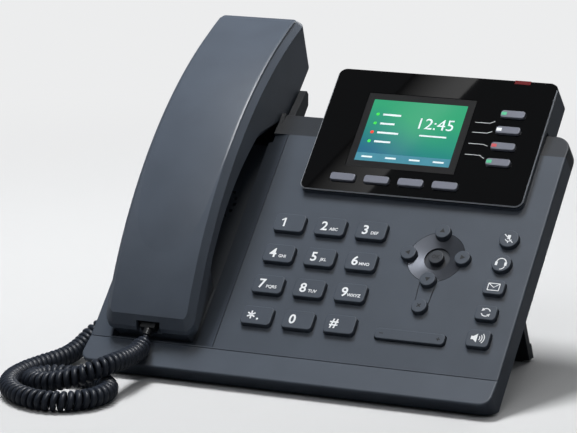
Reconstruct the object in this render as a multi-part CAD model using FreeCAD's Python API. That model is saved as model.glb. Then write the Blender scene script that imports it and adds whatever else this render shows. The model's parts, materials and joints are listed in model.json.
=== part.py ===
import FreeCAD
import Part
import math
import os

# Desk phone: a sloped key slab on a folding stand, a raised screen, a handset and its coiled cord.
# Built in the frame of the key face: x across, y up the slope from the front crease, z out of the face.

# Slab
face_tilt = 44.0
face_width = 209.0
face_length = 126.0
lip_length = 15.6
lip_lift = 11.0
band_length = 13.5
band_drop = 9.0
slab_depth = 12.0
crease_height = 16.0
wall = 2.2
edge_round = 1.0
front_round = 5.5
top_round = 9.0
groove = 0.5
crease_line = 0.4
slip = 0.2
seat_gap = 0.1
overcut = 1.0

# Cradle at the left of the slab
cradle_width = 64.5
flank_angle = 15.0
flank_width = 9.7
channel_left = 11.2
channel_draft = 10.0
channel_start = 0.9
cradle_depth = 4.1
cradle_slope = 3.4
pocket_left = 8.1
pocket_width = 48.6
pocket_start = 122.0
tongue_length = 21.4
tongue_plate = 4.0
rail_width = 3.6
rail_low = 7.0
rail_high = 10.6
grille_y = 88.0
grille_ring = 3.8
grille_rings = 3
grille_hole = 0.9

# Tub under the slab
tub_left = 3.0
tub_right = 12.0
tub_top = 128.0
tub_front = -13.0
tub_depth = 27.0
notch_width = 17.0
notch_top = 43.0
foot_height = 1.0
foot_length = 24.0
foot_width = 9.0
foot_inset = 22.0

# Port bay, placed level behind the crease and above it
bay_back = 47.5
bay_top = 22.3
bay_width = 78.0
net_width = 15.0
net_height = 10.6
net_length = 13.0
net_pitch = 18.0
net_port_width = 11.8
net_port_height = 7.9
net_port_depth = 11.0
net_low = 9.4
net_left = 9.0
power_x = 29.5
power_width = 9.0
power_height = 10.0
power_length = 12.0
power_bore = 3.0
power_pin = 0.9
power_depth = 9.0

# Small jacks for handset and headset in the notch wall
jack_width = 11.4
jack_height = 10.0
jack_length = 14.0
jack_port_width = 7.9
jack_port_height = 6.9
jack_port_depth = 10.6
jack_y = 22.0
jack_pitch = 13.6
jack_z = -18.5
plug_slip = 0.12
plug_grip = 3.0
relief_radius = 2.6
relief_length = 5.0

# Keys
key_area = 144.5
key_pitch_x = 21.3
key_pitch_y = 17.87
key_first_x = 18.1
key_first_y = 73.2
key_length = 15.5
key_width = 10.0
key_corner = 2.0
key_height = 2.4
key_edge = 0.45
key_slip = 0.3
key_travel = 1.2
flange_margin = 0.9
flange_plate = 1.05
side_column = 14.8
round_key = 4.75
round_key_y = 75.9
round_pitch = 13.8
bar_key_length = 10.4
bar_key_width = 7.8
bar_key_y = 48.5
bar_pitch = 14.2
speaker_key_length = 11.2
speaker_key_width = 9.2
dish_column = 33.4
dish_y = 63.0
dish_radius = 13.9
dish_well = 6.3
dish_drop = 1.5
dish_rim = 1.2
dish_ledge = 1.5
arrow_offset = 13.6
arrow_radius = 3.8
ok_radius = 3.7
ok_height = 0.7
ok_flange = 7.2
cancel_offset = 28.6
neck_top = 3.9
neck_bottom = 3.1
rocker_y = 17.7
rocker_length = 34.8
rocker_width = 5.8
rocker_height = 1.6
rocker_swing = 2.0
rocker_gap = 0.4
rocker_ridge = 1.5

# Boards and mat
mat_plate = 1.2
mat_gap = 0.2
board_plate = 1.6
board_left = 4.5
board_right = 5.0
board_low = 14.5
board_high = 87.0
board_post = 3.0
board_post_inset = 7.0
post_radius = 3.0
post_gap = 1.0
pilot_radius = 1.25
screw_radius = 1.2
screw_length = 11.0
screw_head = 2.6
screw_head_height = 1.4
screw_clearance = 1.5

# Screen module
panel_right = 12.9
panel_width = 114.7
panel_low = 93.0
panel_height = 73.3
panel_corner = 4.0
panel_lift = 2.2
panel_plate = 1.3
panel_edge = 0.4
module_depth = 13.0
module_step = 4.6
module_floor = 5.0
screen_left = 19.9
screen_low = 15.5
screen_width = 56.1
screen_height = 44.1
soft_first = 21.1
soft_pitch = 17.63
soft_y = 8.0
soft_length = 13.0
soft_width = 4.3
line_x = 96.7
line_first = 23.9
line_pitch = 9.5
line_length = 12.3
line_width = 4.2
panel_key_height = 1.3
panel_key_travel = 0.8
panel_key_corner = 1.4
lamp_x = 96.2
lamp_length = 8.2
lamp_width = 2.1
lamp_depth = 2.9

# Hook switch in the cradle
hook_x = 44.0
hook_y = 28.0
hook_length = 6.0
hook_width = 3.6
hook_lip = 1.0
hook_travel = 3.0
hook_body_length = 12.0
hook_body_width = 6.4
hook_body_height = 6.6

# Loudspeaker
cone_radius = 18.0
cone_height = 4.0
magnet_radius = 12.0
speaker_gap = 1.5

# Stand
hinge_y = 72.0
hinge_drop = 3.6
barrel_radius = 3.2
pin_radius = 2.0
pin_slip = 0.05
lug_radius = 4.5
lug_width = 4.0
lug_inset = 5.4
stand_plate = 4.0
stand_open = 73.0
stand_length = 56.0
stand_window = 45.0
stand_window_top = 10.0
stand_bar = 15.0
foot_bar = 5.6
stand_clear = 2.0
pad_length = 22.0
pad_inset = 4.0
keyhole_x = 42.0
keyhole_y = 104.0
keyhole_radius = 4.2
keyhole_slot = 2.2
keyhole_length = 9.0

# Handset
handset_half = 23.5
handset_apex = 97.0
handset_rise = 30.5
handset_arc = 226.0
handset_low = 4.3
handset_high = 191.2
handset_chamfer = 3.2
handset_corner = 5.0
handset_wall = 2.4
end_bulge = 1.9
end_bulge_z = 5.4
mouth_half = 19.2
mouth_end = 36.0
mouth_lip = 2.4
mouth_edge = 4.6
mouth_side = 18.0
mouth_side_z = 4.6
grip_low = 41.0
grip_low_z = 13.9
grip_mid = 80.0
grip_mid_z = 18.6
grip_high = 117.0
grip_high_z = 12.6
grip_plate = 3.4
ear_low = 146.5
ear_high = 180.6
ear_plate = 1.4
receiver_radius = 15.0
receiver_height = 9.0
receiver_y = 162.0
microphone_radius = 4.5
microphone_height = 5.0
microphone_y = 26.0
mouth_floor = 2.3
handset_jack_low = 3.2
handset_jack_height = 6.6
handset_jack_length = 12.5
slot_half = 6.2
handset_relief = 3.4

# Coiled cord: route from the base plug to the handset plug, as distance across,
# distance behind the front crease, and height above the desk
cord_radius = 5.0
base_lead = 11.0
handset_lead = 5.0
cord_route = [
    (-113.0, 19.4, 11.6),
    (-114.4, 6.0, 6.4),
    (-115.6, -7.0, 5.1),
    (-118.8, -20.0, 5.1),
    (-121.5, -35.0, 5.1),
    (-120.8, -51.0, 5.1),
    (-113.6, -66.0, 5.1),
    (-101.0, -76.0, 5.1),
    (-86.0, -79.2, 5.1),
    (-73.5, -72.5, 5.1),
    (-67.6, -60.0, 5.1),
    (-70.0, -47.0, 5.1),
    (-79.0, -38.0, 5.1),
    (-91.5, -34.2, 5.1),
    (-103.8, -35.0, 5.2),
    (-110.0, -41.7, 5.5),
    (-110.0, -51.3, 6.1),
    (-103.8, -58.0, 7.2),
    (-92.5, -60.2, 9.0),
    (-81.0, -57.5, 12.2),
    (-73.2, -48.5, 15.3),
    (-70.9, -36.5, 15.5),
    (-71.4, -24.6, 14.4),
    (-72.1, -14.1, 14.3),
]

half_width = face_width / 2
front_y = -lip_length * math.cos(math.radians(lip_lift))
front_z = lip_length * math.sin(math.radians(lip_lift))
band_y = face_length + band_length * math.cos(math.radians(band_drop))
band_z = -band_length * math.sin(math.radians(band_drop))
flange_top = -wall - seat_gap - 0.05
spread = (face_width - cradle_width) / key_area
lug_span = half_width - tub_right - lug_inset - lug_width
foot_bar_span = lug_span + lug_width + seat_gap
above = 9.0


def vec(x, y, z=0.0):
    return FreeCAD.Vector(x, y, z)


def across(from_left):
    """Distance across the face, from its middle, of a point given from its left edge."""
    return from_left - half_width


def block(x0, x1, y0, y1, z0, z1):
    return Part.makeBox(x1 - x0, y1 - y0, z1 - z0, vec(x0, y0, z0))


def rod(x, y, radius, z0, z1):
    return Part.makeCylinder(radius, z1 - z0, vec(x, y, z0))


def cross_rod(x0, x1, y, z, radius):
    return Part.makeCylinder(radius, x1 - x0, vec(x0, y, z), vec(1, 0, 0))


def slice_x(edges, x0, x1):
    """A closed outline drawn at x0 in the side view, carried across to x1."""
    return Part.Face(Part.Wire(edges)).extrude(vec(x1 - x0, 0, 0))


def side_prism(points, x0, x1):
    corners = [vec(x0, y, z) for y, z in points]
    return Part.Face(Part.makePolygon(corners + corners[:1])).extrude(vec(x1 - x0, 0, 0))


def end_prism(points, y0, y1):
    corners = [vec(x, y0, z) for x, z in points]
    return Part.Face(Part.makePolygon(corners + corners[:1])).extrude(vec(0, y1 - y0, 0))


def plan_prism(points, z0, z1):
    corners = [vec(x, y, z0) for x, y in points]
    return Part.Face(Part.makePolygon(corners + corners[:1])).extrude(vec(0, 0, z1 - z0))


def upright_edges(solid):
    found = []
    for edge in solid.Edges:
        box = edge.BoundBox
        if box.XLength < 1e-6 and box.YLength < 1e-6:
            found.append(edge)
    return found


def top_edges(solid):
    level = solid.BoundBox.ZMax
    return [e for e in solid.Edges if e.BoundBox.ZMin > level - 1e-6]


def rounded_block(x0, x1, y0, y1, z0, z1, corner):
    body = block(x0, x1, y0, y1, z0, z1)
    return body.makeFillet(corner, upright_edges(body))


def face_normal(face):
    u0, u1, v0, v1 = face.ParameterRange
    return face.normalAt((u0 + u1) / 2, (v0 + v1) / 2)


def rim_edges(solid):
    """Edges between an upward face and a standing face."""
    found = []
    for edge in solid.Edges:
        leans = [face_normal(f).z for f in solid.ancestorsOfType(edge, Part.Face)]
        if max(leans) > 0.9 and abs(min(leans)) < 0.3:
            found.append(edge)
    return found


def level_block(x0, x1, y0, y1, z0, z1):
    """A block that is level on the desk; y from the crease and z from the crease's height."""
    body = block(x0, x1, y0, y1, z0, z1)
    body.rotate(vec(0, 0, 0), vec(1, 0, 0), -face_tilt)
    return body


def below_desk(height):
    """Everything lower than a height above the desk."""
    reach = 4 * face_width
    return level_block(-reach, reach, -reach, reach, -reach, height - crease_height)


def floor_z(y):
    """The cradle's floor, which falls away up the slope."""
    return -cradle_depth - y * math.tan(math.radians(cradle_slope))


# Base shells

def slab_profile(inset):
    return [
        (front_y + inset, front_z - inset),
        (0.0, -inset),
        (face_length, -inset),
        (band_y - inset, band_z - inset),
        (band_y - inset, -slab_depth - inset),
        (front_y + inset, -slab_depth - inset),
    ]


def slab_plan(inset, z0, z1):
    body = block(-half_width + inset, half_width - inset, front_y + inset, band_y - inset, z0, z1)
    corners = upright_edges(body)
    front = [e for e in corners if e.BoundBox.YMin < 0]
    rear = [e for e in corners if e.BoundBox.YMin > 0]
    body = body.makeFillet(front_round - inset, front)
    rear = [e for e in upright_edges(body) if e.BoundBox.YMin > band_y - inset - 1e-3]
    return body.makeFillet(top_round - inset, rear)


def slab(inset):
    deep = slab_depth + inset
    body = side_prism(slab_profile(inset), -half_width, half_width)
    return body.common(slab_plan(inset, -deep, above))


def channel(grow, y1):
    """The trough under the handset, with every wall moved out by grow."""
    start = channel_start - grow
    lean = math.tan(math.radians(channel_draft))
    side = side_prism(
        [
            (start, above),
            (start, 0.0),
            (start + cradle_depth * lean, floor_z(0) - grow),
            (y1, floor_z(y1) - grow),
            (y1, above),
        ],
        -half_width,
        0.0,
    )
    left = across(channel_left) - grow
    right = across(cradle_width - flank_width) + grow
    deep = tub_depth
    section = end_prism(
        [
            (left - above * lean, above),
            (left + deep * lean, -deep),
            (right - deep * lean, -deep),
            (right + above * lean, above),
        ],
        start,
        y1,
    )
    return side.common(section)


def ear_pocket(grow, y1):
    y0 = pocket_start - grow
    return side_prism(
        [(y0, above), (y0, floor_z(y0) - grow), (y1, floor_z(y1) - grow), (y1, above)],
        across(pocket_left) - grow,
        across(pocket_left + pocket_width) + grow,
    )


def flank(lower):
    """The gentle slope from the face down to the trough, lowered by a wall for its underside."""
    fall = (flank_width + wall) * math.tan(math.radians(flank_angle))
    right = across(cradle_width)
    left = right - flank_width - wall
    return end_prism(
        [(right, -lower), (left, -fall - lower), (left, above), (right, above)],
        channel_start,
        face_length,
    )


def flank_skin():
    fall = (flank_width + wall) * math.tan(math.radians(flank_angle))
    right = across(cradle_width)
    left = right - flank_width
    return end_prism(
        [(right, -wall), (left, -fall - wall), (left, -wall / 2), (right, -wall / 2)],
        channel_start - wall,
        face_length,
    )


def tongue():
    """Rest for the ear end of the handset, past the slab's upper edge."""
    y0 = band_y - wall
    y1 = band_y + tongue_length
    left = across(pocket_left) - rail_width
    right = across(pocket_left + pocket_width) + rail_width
    low = floor_z(y1) - tongue_plate
    body = side_prism(
        [
            (y0, low),
            (y1 - tongue_plate, low),
            (y1, low + tongue_plate),
            (y1, -rail_high - groove),
            (y1 - groove, -rail_high),
            (y0, -rail_low),
        ],
        left,
        right,
    )
    return body.cut(ear_pocket(0.0, y1 + above))


def grille_holes():
    x = across(channel_left + (cradle_width - flank_width - channel_left) / 2)
    holes = []
    for ring in range(grille_rings + 1):
        count = max(1, 6 * ring)
        for step in range(count):
            angle = 2 * math.pi * step / count
            hx = x + ring * grille_ring * math.cos(angle)
            hy = grille_y + ring * grille_ring * math.sin(angle)
            holes.append(rod(hx, hy, grille_hole, floor_z(hy) - 2 * wall, floor_z(hy) + wall))
    return holes


def post_places():
    under_flank = across(cradle_width - flank_width / 2)
    beside_keys = side_x() - round_key
    return [
        (under_flank, board_low - post_radius - post_gap),
        (under_flank, pocket_start - 3 * post_radius),
        (beside_keys, board_low - post_radius - post_gap),
        (beside_keys, board_high + post_radius + post_gap),
    ]


def tub_floor():
    return -tub_depth + wall


def neck_grooves():
    x = dish_x()
    y0 = dish_y - cancel_offset + arrow_radius / 2
    y1 = dish_y - arrow_offset
    cuts = []
    for sign in (-1, 1):
        points = [
            (x + sign * neck_bottom, y0),
            (x + sign * neck_top, y1),
            (x + sign * (neck_top + groove), y1),
            (x + sign * (neck_bottom + groove), y0),
        ]
        cuts.append(plan_prism(points, -groove, above))
    return cuts


def module_opening():
    x0 = panel_x() + module_step - slip
    x1 = panel_x() + panel_width - module_step + slip
    return block(x0, x1, panel_low + module_step - slip, band_y + slip, -module_floor - slip, above)


def top_shell():
    body = slab(0.0)
    body = body.makeFillet(edge_round, rim_edges(body))
    body = body.cut(slab(wall))
    room = slab_plan(0.0, -tub_depth, -wall / 2)
    skins = [channel(wall, band_y), ear_pocket(wall, band_y), flank_skin()]
    for skin in skins:
        body = body.fuse(skin.common(room))
    body = body.fuse(tongue())
    for x, y in post_places():
        post = rod(x, y, post_radius, tub_floor(), -wall + groove)
        body = body.fuse(post)
    cuts = [channel(0.0, band_y + 2 * tongue_length), ear_pocket(0.0, band_y + 2 * tongue_length)]
    cuts.append(flank(0.0))
    for cut in cuts:
        body = body.cut(cut)
    crease = across(cradle_width)
    holes = [block(crease, crease + groove, channel_start, face_length, -groove, above)]
    holes.append(block(-half_width, half_width, -crease_line / 2, crease_line / 2, -crease_line, above))
    holes += [rod(x, y, pilot_radius, tub_floor(), tub_floor() + screw_length) for x, y in post_places()]
    holes += grille_holes()
    holes += neck_grooves()
    holes.append(module_opening())
    holes.append(rod(dish_x(), dish_y, dish_radius + slip, -dish_rim, above))
    holes.append(rod(dish_x(), dish_y, dish_radius - dish_ledge, -slab_depth, above))
    holes.append(hook_stem(key_slip, floor_z(hook_y) - 2 * wall, above))
    holes += [cap for cap in key_holes()]
    body = body.cut(Part.makeCompound(holes))
    return body.cut(below_desk(foot_height))


def tub_plan(inset, z0, z1):
    x0 = -half_width + tub_left + inset
    x1 = half_width - tub_right - inset
    y0 = tub_front + inset
    y1 = tub_top - inset
    notch_x = x0 + notch_width
    notch_y = notch_top + inset
    return plan_prism([(notch_x, y0), (x1, y0), (x1, y1), (x0, y1), (x0, notch_y), (notch_x, notch_y)], z0, z1)


def bay(grow):
    half = bay_width / 2 + grow
    return level_block(-half, half, bay_back - grow, 3 * bay_back, -bay_back, bay_top + grow)


def notch_wall():
    return -half_width + tub_left + notch_width


def stand_lugs():
    z = -tub_depth - hinge_drop
    lugs = []
    for x0 in (-lug_span - lug_width, lug_span):
        x1 = x0 + lug_width
        lug = cross_rod(x0, x1, hinge_y, z, lug_radius)
        root = block(x0, x1, hinge_y - lug_radius, hinge_y + lug_radius, z, -tub_depth + wall / 2)
        lugs.append(lug.fuse(root).cut(cross_rod(x0, x1, hinge_y, z, pin_radius + pin_slip)))
    return lugs


def keyhole(x):
    low = -tub_depth - wall
    high = -tub_depth + 2 * wall
    entry = rod(x, keyhole_y, keyhole_radius, low, high)
    end = keyhole_y + keyhole_length
    slot = block(x - keyhole_slot, x + keyhole_slot, keyhole_y, end, low, high)
    return entry.fuse(slot).fuse(rod(x, end, keyhole_slot, low, high))


def board_places():
    left = across(cradle_width + board_left + board_post_inset)
    right = half_width - tub_right - board_post_inset
    return [(x, y) for x in (left, right) for y in (board_low + board_post_inset, board_high - board_post_inset)]


def bottom_shell():
    rim = slab_plan(wall + slip, -slab_depth, -slab_depth + wall)
    body = rim.fuse(tub_plan(0.0, -tub_depth, -slab_depth + wall))
    hollow = tub_plan(wall, tub_floor(), above).cut(below_desk(foot_height + wall))
    body = body.cut(hollow)
    solid = tub_plan(0.0, -tub_depth, -slab_depth + wall)
    body = body.fuse(bay(wall).common(solid))
    for lug in stand_lugs():
        body = body.fuse(lug)
    for x, y in board_places():
        body = body.fuse(rod(x, y, board_post, tub_floor() - wall / 2, board_bottom()))
    body = body.fuse(hook_post())
    cuts = [bay(0.0), channel(wall + slip, band_y), ear_pocket(wall + slip, band_y + overcut)]
    cuts += [jack_case(y, slip) for y in jack_rows()]
    cuts += [network_case(x, slip) for x in network_places()]
    cuts.append(power_case(slip))
    for sign in (-1, 1):
        cuts.append(keyhole(sign * keyhole_x))
    for x, y in post_places():
        cuts.append(rod(x, y, screw_clearance, -tub_depth - wall, tub_floor() + wall))
        cuts.append(rod(x, y, screw_head + slip, -tub_depth - wall, -tub_depth + screw_head_height))
    cuts.append(below_desk(foot_height))
    for cut in cuts:
        body = body.cut(cut)
    return body


def front_feet():
    feet = []
    for sign in (-1, 1):
        x = sign * (half_width - foot_inset - foot_length / 2)
        y = tub_front * math.cos(math.radians(face_tilt)) + foot_inset / 2
        low = -crease_height
        feet.append(level_block(x - foot_length / 2, x + foot_length / 2, y, y + foot_width, low, low + foot_height))
    return Part.makeCompound(feet)


def housing_screws():
    screws = []
    for x, y in post_places():
        head = rod(x, y, screw_head, -tub_depth, -tub_depth + screw_head_height)
        shank = rod(x, y, screw_radius, -tub_depth, tub_floor() + screw_length - groove)
        screws.append(head.fuse(shank))
    return Part.makeCompound(screws)


# Jacks

def network_places():
    return [net_left - net_pitch - net_width / 2 + net_pitch * n for n in range(2)]


def network_case(x, grow):
    return level_block(
        x - net_width / 2 - grow,
        x + net_width / 2 + grow,
        bay_back - net_length - grow,
        bay_back + grow,
        net_low - grow,
        net_low + net_height + grow,
    )


def network_jacks():
    jacks = []
    low = net_low + (net_height - net_port_height) / 2
    mouth = bay_back + overcut
    for x in network_places():
        case = network_case(x, 0.0)
        half = net_port_width / 2
        port = level_block(x - half, x + half, bay_back - net_port_depth, mouth, low, low + net_port_height)
        jacks.append(case.cut(port))
    return Part.makeCompound(jacks)


def power_case(grow):
    half = power_width / 2 + grow
    return level_block(
        power_x - half,
        power_x + half,
        bay_back - power_length - grow,
        bay_back + grow,
        net_low - grow,
        net_low + power_height + grow,
    )


def power_jack():
    y0 = bay_back - power_depth
    z = net_low + power_height / 2
    bore = Part.makeCylinder(power_bore, power_depth + overcut, vec(power_x, y0, z), vec(0, 1, 0))
    pin = Part.makeCylinder(power_pin, power_depth - 1, vec(power_x, y0, z), vec(0, 1, 0))
    bore = bore.cut(pin)
    bore.rotate(vec(0, 0, 0), vec(1, 0, 0), -face_tilt)
    return power_case(0.0).cut(bore)


def jack_rows():
    return [jack_y, jack_y + jack_pitch]


def jack_case(y, grow):
    x = notch_wall()
    half = jack_width / 2 + grow
    tall = jack_height / 2 + grow
    return block(x - grow, x + jack_length + grow, y - half, y + half, jack_z - tall, jack_z + tall)


def cord_jacks():
    jacks = []
    x = notch_wall()
    half = jack_port_width / 2
    tall = jack_port_height / 2
    for y in jack_rows():
        port = block(x - overcut, x + jack_port_depth, y - half, y + half, jack_z - tall, jack_z + tall)
        jacks.append(jack_case(y, 0.0).cut(port))
    return Part.makeCompound(jacks)


def base_plug():
    x = notch_wall()
    half = jack_port_width / 2 - plug_slip
    tall = jack_port_height / 2 - plug_slip
    end = x + jack_port_depth - plug_slip
    body = block(x - plug_grip, end, jack_y - half, jack_y + half, jack_z - tall, jack_z + tall)
    relief = cross_rod(x - plug_grip - relief_length, x - plug_grip, jack_y, jack_z, relief_radius)
    return body.fuse(relief)


# Boards, switch and loudspeaker

def mat_top():
    return flange_top - flange_plate - key_travel - mat_gap


def board_top():
    return mat_top() - mat_plate


def board_bottom():
    return board_top() - board_plate


def main_board():
    x0 = across(cradle_width + board_left)
    return block(x0, half_width - board_right, board_low, board_high, board_bottom(), board_top())


def keypad_mat():
    x0 = across(cradle_width + board_left)
    return block(x0, half_width - board_right, board_low, board_high, board_top(), mat_top())


def hook_stem(grow, z0, z1):
    x = across(hook_x)
    half = hook_length / 2 + grow
    tall = hook_width / 2 + grow
    return block(x - half, x + half, hook_y - tall, hook_y + tall, z0, z1)


def hook_foot():
    """Underside of the plunger's lip, low enough for its travel."""
    return floor_z(hook_y + hook_width) - wall - hook_travel - hook_lip - 2 * slip


def hook_plunger():
    low = hook_foot()
    return hook_stem(0.0, low, floor_z(hook_y + hook_width)).fuse(hook_stem(hook_lip, low, low + hook_lip))


def hook_box(z0, z1):
    x = across(hook_x)
    half = hook_body_length / 2
    tall = hook_body_width / 2
    return block(x - half, x + half, hook_y - tall, hook_y + tall, z0, z1)


def hook_switch():
    top = hook_foot() - seat_gap
    return hook_box(top - hook_body_height, top)


def hook_post():
    top = hook_foot() - seat_gap - hook_body_height
    return hook_box(tub_floor() - wall / 2, top)


def loudspeaker():
    x = across(channel_left + (cradle_width - flank_width - channel_left) / 2)
    top = floor_z(grille_y) - wall - seat_gap
    dip = magnet_radius * math.sin(math.radians(cradle_slope))
    deep = top - dip - tub_floor() - speaker_gap
    body = rod(0, 0, cone_radius, -cone_height, 0)
    body = body.fuse(rod(0, 0, magnet_radius, -deep, 0))
    body.rotate(vec(0, 0, 0), vec(1, 0, 0), -cradle_slope)
    body.translate(vec(x, grille_y, top))
    return body


# Screen module

def panel_x():
    return half_width - panel_right - panel_width


def panel_outline(inset, z0, z1):
    x0 = panel_x() + inset
    x1 = panel_x() + panel_width - inset
    y0 = panel_low + inset
    y1 = panel_low + panel_height - inset
    return rounded_block(x0, x1, y0, y1, z0, z1, panel_corner - inset / 2)


def panel_front():
    return panel_lift + panel_plate


def screen_box(grow, z0, z1):
    x0 = panel_x() + screen_left
    y0 = panel_low + screen_low
    return block(x0 - grow, x0 + screen_width + grow, y0 - grow, y0 + screen_height + grow, z0, z1)


def lamp_box(grow, z0, z1):
    x = panel_x() + lamp_x
    y1 = panel_low + panel_height
    return block(x - lamp_length / 2 - grow, x + lamp_length / 2 + grow, y1 - lamp_width - grow, y1 + grow, z0, z1)


def screen_board_top():
    return -module_floor + wall + slip + board_plate


def screen_housing():
    body = panel_outline(0.0, 0.0, panel_lift)
    reach = block(-half_width, half_width, band_y + 2 * slip, panel_low + panel_height, -module_depth, 0.0)
    body = body.fuse(panel_outline(0.0, -module_depth, panel_lift).common(reach))
    x0 = panel_x() + module_step
    x1 = panel_x() + panel_width - module_step
    body = body.fuse(block(x0, x1, panel_low + module_step, band_y + wall, -module_floor, panel_lift / 2))
    step = module_step + wall
    pocket = block(
        panel_x() + step,
        panel_x() + panel_width - step,
        panel_low + step,
        panel_low + panel_height - step,
        -module_floor + wall,
        above,
    )
    body = body.cut(pocket)
    deep = block(
        panel_x() + step,
        panel_x() + panel_width - step,
        band_y + 2 * slip + wall,
        panel_low + panel_height - step,
        -module_depth + wall,
        above,
    )
    body = body.cut(deep)
    body = body.cut(panel_outline(wall, panel_lift - flange_room(), above))
    return body.cut(lamp_box(slip, panel_front() - lamp_depth, above))


def flange_room():
    return seat_gap + flange_plate + panel_key_travel + mat_gap


def screen_board():
    step = module_step + wall + slip
    return block(
        panel_x() + step,
        panel_x() + panel_width - step,
        panel_low + step,
        panel_low + panel_height - step,
        screen_board_top() - board_plate,
        screen_board_top(),
    )


def screen_panel():
    body = panel_outline(0.0, panel_lift, panel_front())
    body = body.makeChamfer(panel_edge, top_edges(body))
    body = body.cut(screen_box(slip, 0.0, above))
    body = body.cut(lamp_box(slip, 0.0, above))
    for hole in panel_key_holes():
        body = body.cut(hole)
    return body


def lcd_module():
    return screen_box(0.0, screen_board_top(), panel_front() - slip)


def message_lamp():
    body = lamp_box(0.0, panel_front() - lamp_depth, panel_front())
    return body


# Keys

def dish_x():
    return half_width - spread * (side_column + dish_column)


def side_x():
    return half_width - spread * side_column


def key_cap(x, y, length, width, corner, z0, z1):
    return rounded_block(x - length / 2, x + length / 2, y - width / 2, y + width / 2, z0, z1, corner)


def bar_key(x, y, length, width, corner, seat, height):
    """A moulded key: a softened cap on a flange that is held under the plate it comes through."""
    low = seat - flange_plate
    cap = key_cap(x, y, length, width, corner, low, height)
    cap = cap.makeFillet(key_edge, top_edges(cap))
    wide = 2 * flange_margin
    flange = key_cap(x, y, length + wide, width + wide, corner + flange_margin, low, seat)
    return cap.fuse(flange).removeSplitter()


def disc_key(x, y, radius, flange_radius, seat, height):
    low = seat - flange_plate
    cap = rod(x, y, radius, low, height)
    cap = cap.makeFillet(key_edge, top_edges(cap))
    return cap.fuse(rod(x, y, flange_radius, low, seat)).removeSplitter()


def dial_names():
    return ["1", "2", "3", "4", "5", "6", "7", "8", "9", "star", "0", "hash"]


def dial_places():
    places = {}
    for n, name in enumerate(dial_names()):
        x = across(cradle_width + spread * (key_first_x + key_pitch_x * (n % 3)))
        places["key_" + name] = (x, key_first_y - key_pitch_y * (n // 3))
    return places


def disc_places():
    side = side_x()
    x = dish_x()
    return {
        "mute_key": (side, round_key_y, round_key),
        "headset_key": (side, round_key_y - round_pitch, round_key),
        "up_key": (x, dish_y + arrow_offset, arrow_radius),
        "down_key": (x, dish_y - arrow_offset, arrow_radius),
        "left_key": (x - arrow_offset, dish_y, arrow_radius),
        "right_key": (x + arrow_offset, dish_y, arrow_radius),
        "cancel_key": (x, dish_y - cancel_offset, arrow_radius),
    }


def bar_places():
    side = side_x()
    return {
        "message_key": (side, bar_key_y, bar_key_length, bar_key_width),
        "redial_key": (side, bar_key_y - bar_pitch, bar_key_length, bar_key_width),
        "speaker_key": (side, bar_key_y - 2 * bar_pitch, speaker_key_length, speaker_key_width),
    }


def panel_places():
    places = {}
    for n in range(4):
        x = panel_x() + soft_first + soft_pitch * n
        places["soft_key_%d" % (n + 1)] = (x, panel_low + soft_y, soft_length, soft_width)
    for n in range(4):
        y = panel_low + line_first + line_pitch * (3 - n)
        places["line_key_%d" % (n + 1)] = (panel_x() + line_x, y, line_length, line_width)
    return places


def key_holes():
    deep = -slab_depth + wall
    wide = 2 * key_slip
    holes = []
    for x, y in dial_places().values():
        holes.append(key_cap(x, y, key_length + wide, key_width + wide, key_corner + key_slip, deep, above))
    for x, y, length, width in bar_places().values():
        holes.append(key_cap(x, y, length + wide, width + wide, key_corner + key_slip, deep, above))
    for x, y, radius in disc_places().values():
        holes.append(rod(x, y, radius + key_slip, deep, above))
    room = rocker_gap * 2
    holes.append(key_cap(dish_x(), rocker_y, rocker_length + room, rocker_width + room, key_corner, deep, above))
    return holes


def panel_key_holes():
    wide = 2 * key_slip
    corner = panel_key_corner + key_slip
    return [
        key_cap(x, y, length + wide, width + wide, corner, 0.0, above)
        for x, y, length, width in panel_places().values()
    ]


def nav_dish():
    """Dished ring round the OK key, resting on a ledge in the face."""
    outer = dish_radius
    ledge = dish_radius - dish_ledge - slip
    profile = [
        (dish_well, -dish_drop),
        (outer, 0.0),
        (outer, -dish_rim),
        (ledge, -dish_rim),
        (ledge, -wall),
        (dish_well, -wall),
    ]
    corners = [vec(r, 0, z) for r, z in profile]
    body = Part.Face(Part.makePolygon(corners + corners[:1])).revolve(vec(0, 0, 0), vec(0, 0, 1), 360)
    body.translate(vec(dish_x(), dish_y, 0))
    for name, (x, y, radius) in disc_places().items():
        body = body.cut(rod(x, y, radius + key_slip, -slab_depth, above))
    return body


def volume_rocker():
    """Bar on a lowered flange, tipping about a ridge under its middle."""
    x = dish_x()
    seat = flange_top - rocker_length / 2 * math.sin(math.radians(rocker_swing))
    body = bar_key(x, rocker_y, rocker_length, rocker_width, key_corner, seat, rocker_height)
    half = rocker_width / 2
    low = mat_top() + seat_gap
    return body.fuse(block(x - rocker_ridge, x + rocker_ridge, rocker_y - half, rocker_y + half, low, seat))


# Stand

def stand():
    z = -tub_depth - hinge_drop
    half = lug_span - slip
    plate = stand_plate / 2
    y0 = hinge_y - stand_length
    body = cross_rod(-half, half, hinge_y, z, barrel_radius)
    body = body.fuse(block(-half, half, y0, hinge_y, z - plate, z + plate))
    y1 = hinge_y - lug_radius - stand_clear
    body = body.fuse(block(-foot_bar_span, foot_bar_span, y0, y1, z - plate, z + plate))
    body = body.fuse(block(-foot_bar_span, foot_bar_span, y0, y0 + stand_bar, z + plate - foot_bar, z + plate))
    window = block(-stand_window, stand_window, y0 + stand_bar, hinge_y - stand_window_top, z - foot_bar, z + foot_bar)
    body = body.cut(window)
    for sign in (-1, 1):
        end = sign * (lug_span + lug_width)
        pin = cross_rod(min(end, sign * half), max(end, sign * half), hinge_y, z, pin_radius)
        body = body.fuse(pin)
    body.rotate(vec(0, hinge_y, z), vec(1, 0, 0), stand_open)
    return body.cut(below_desk(foot_height))


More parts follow.
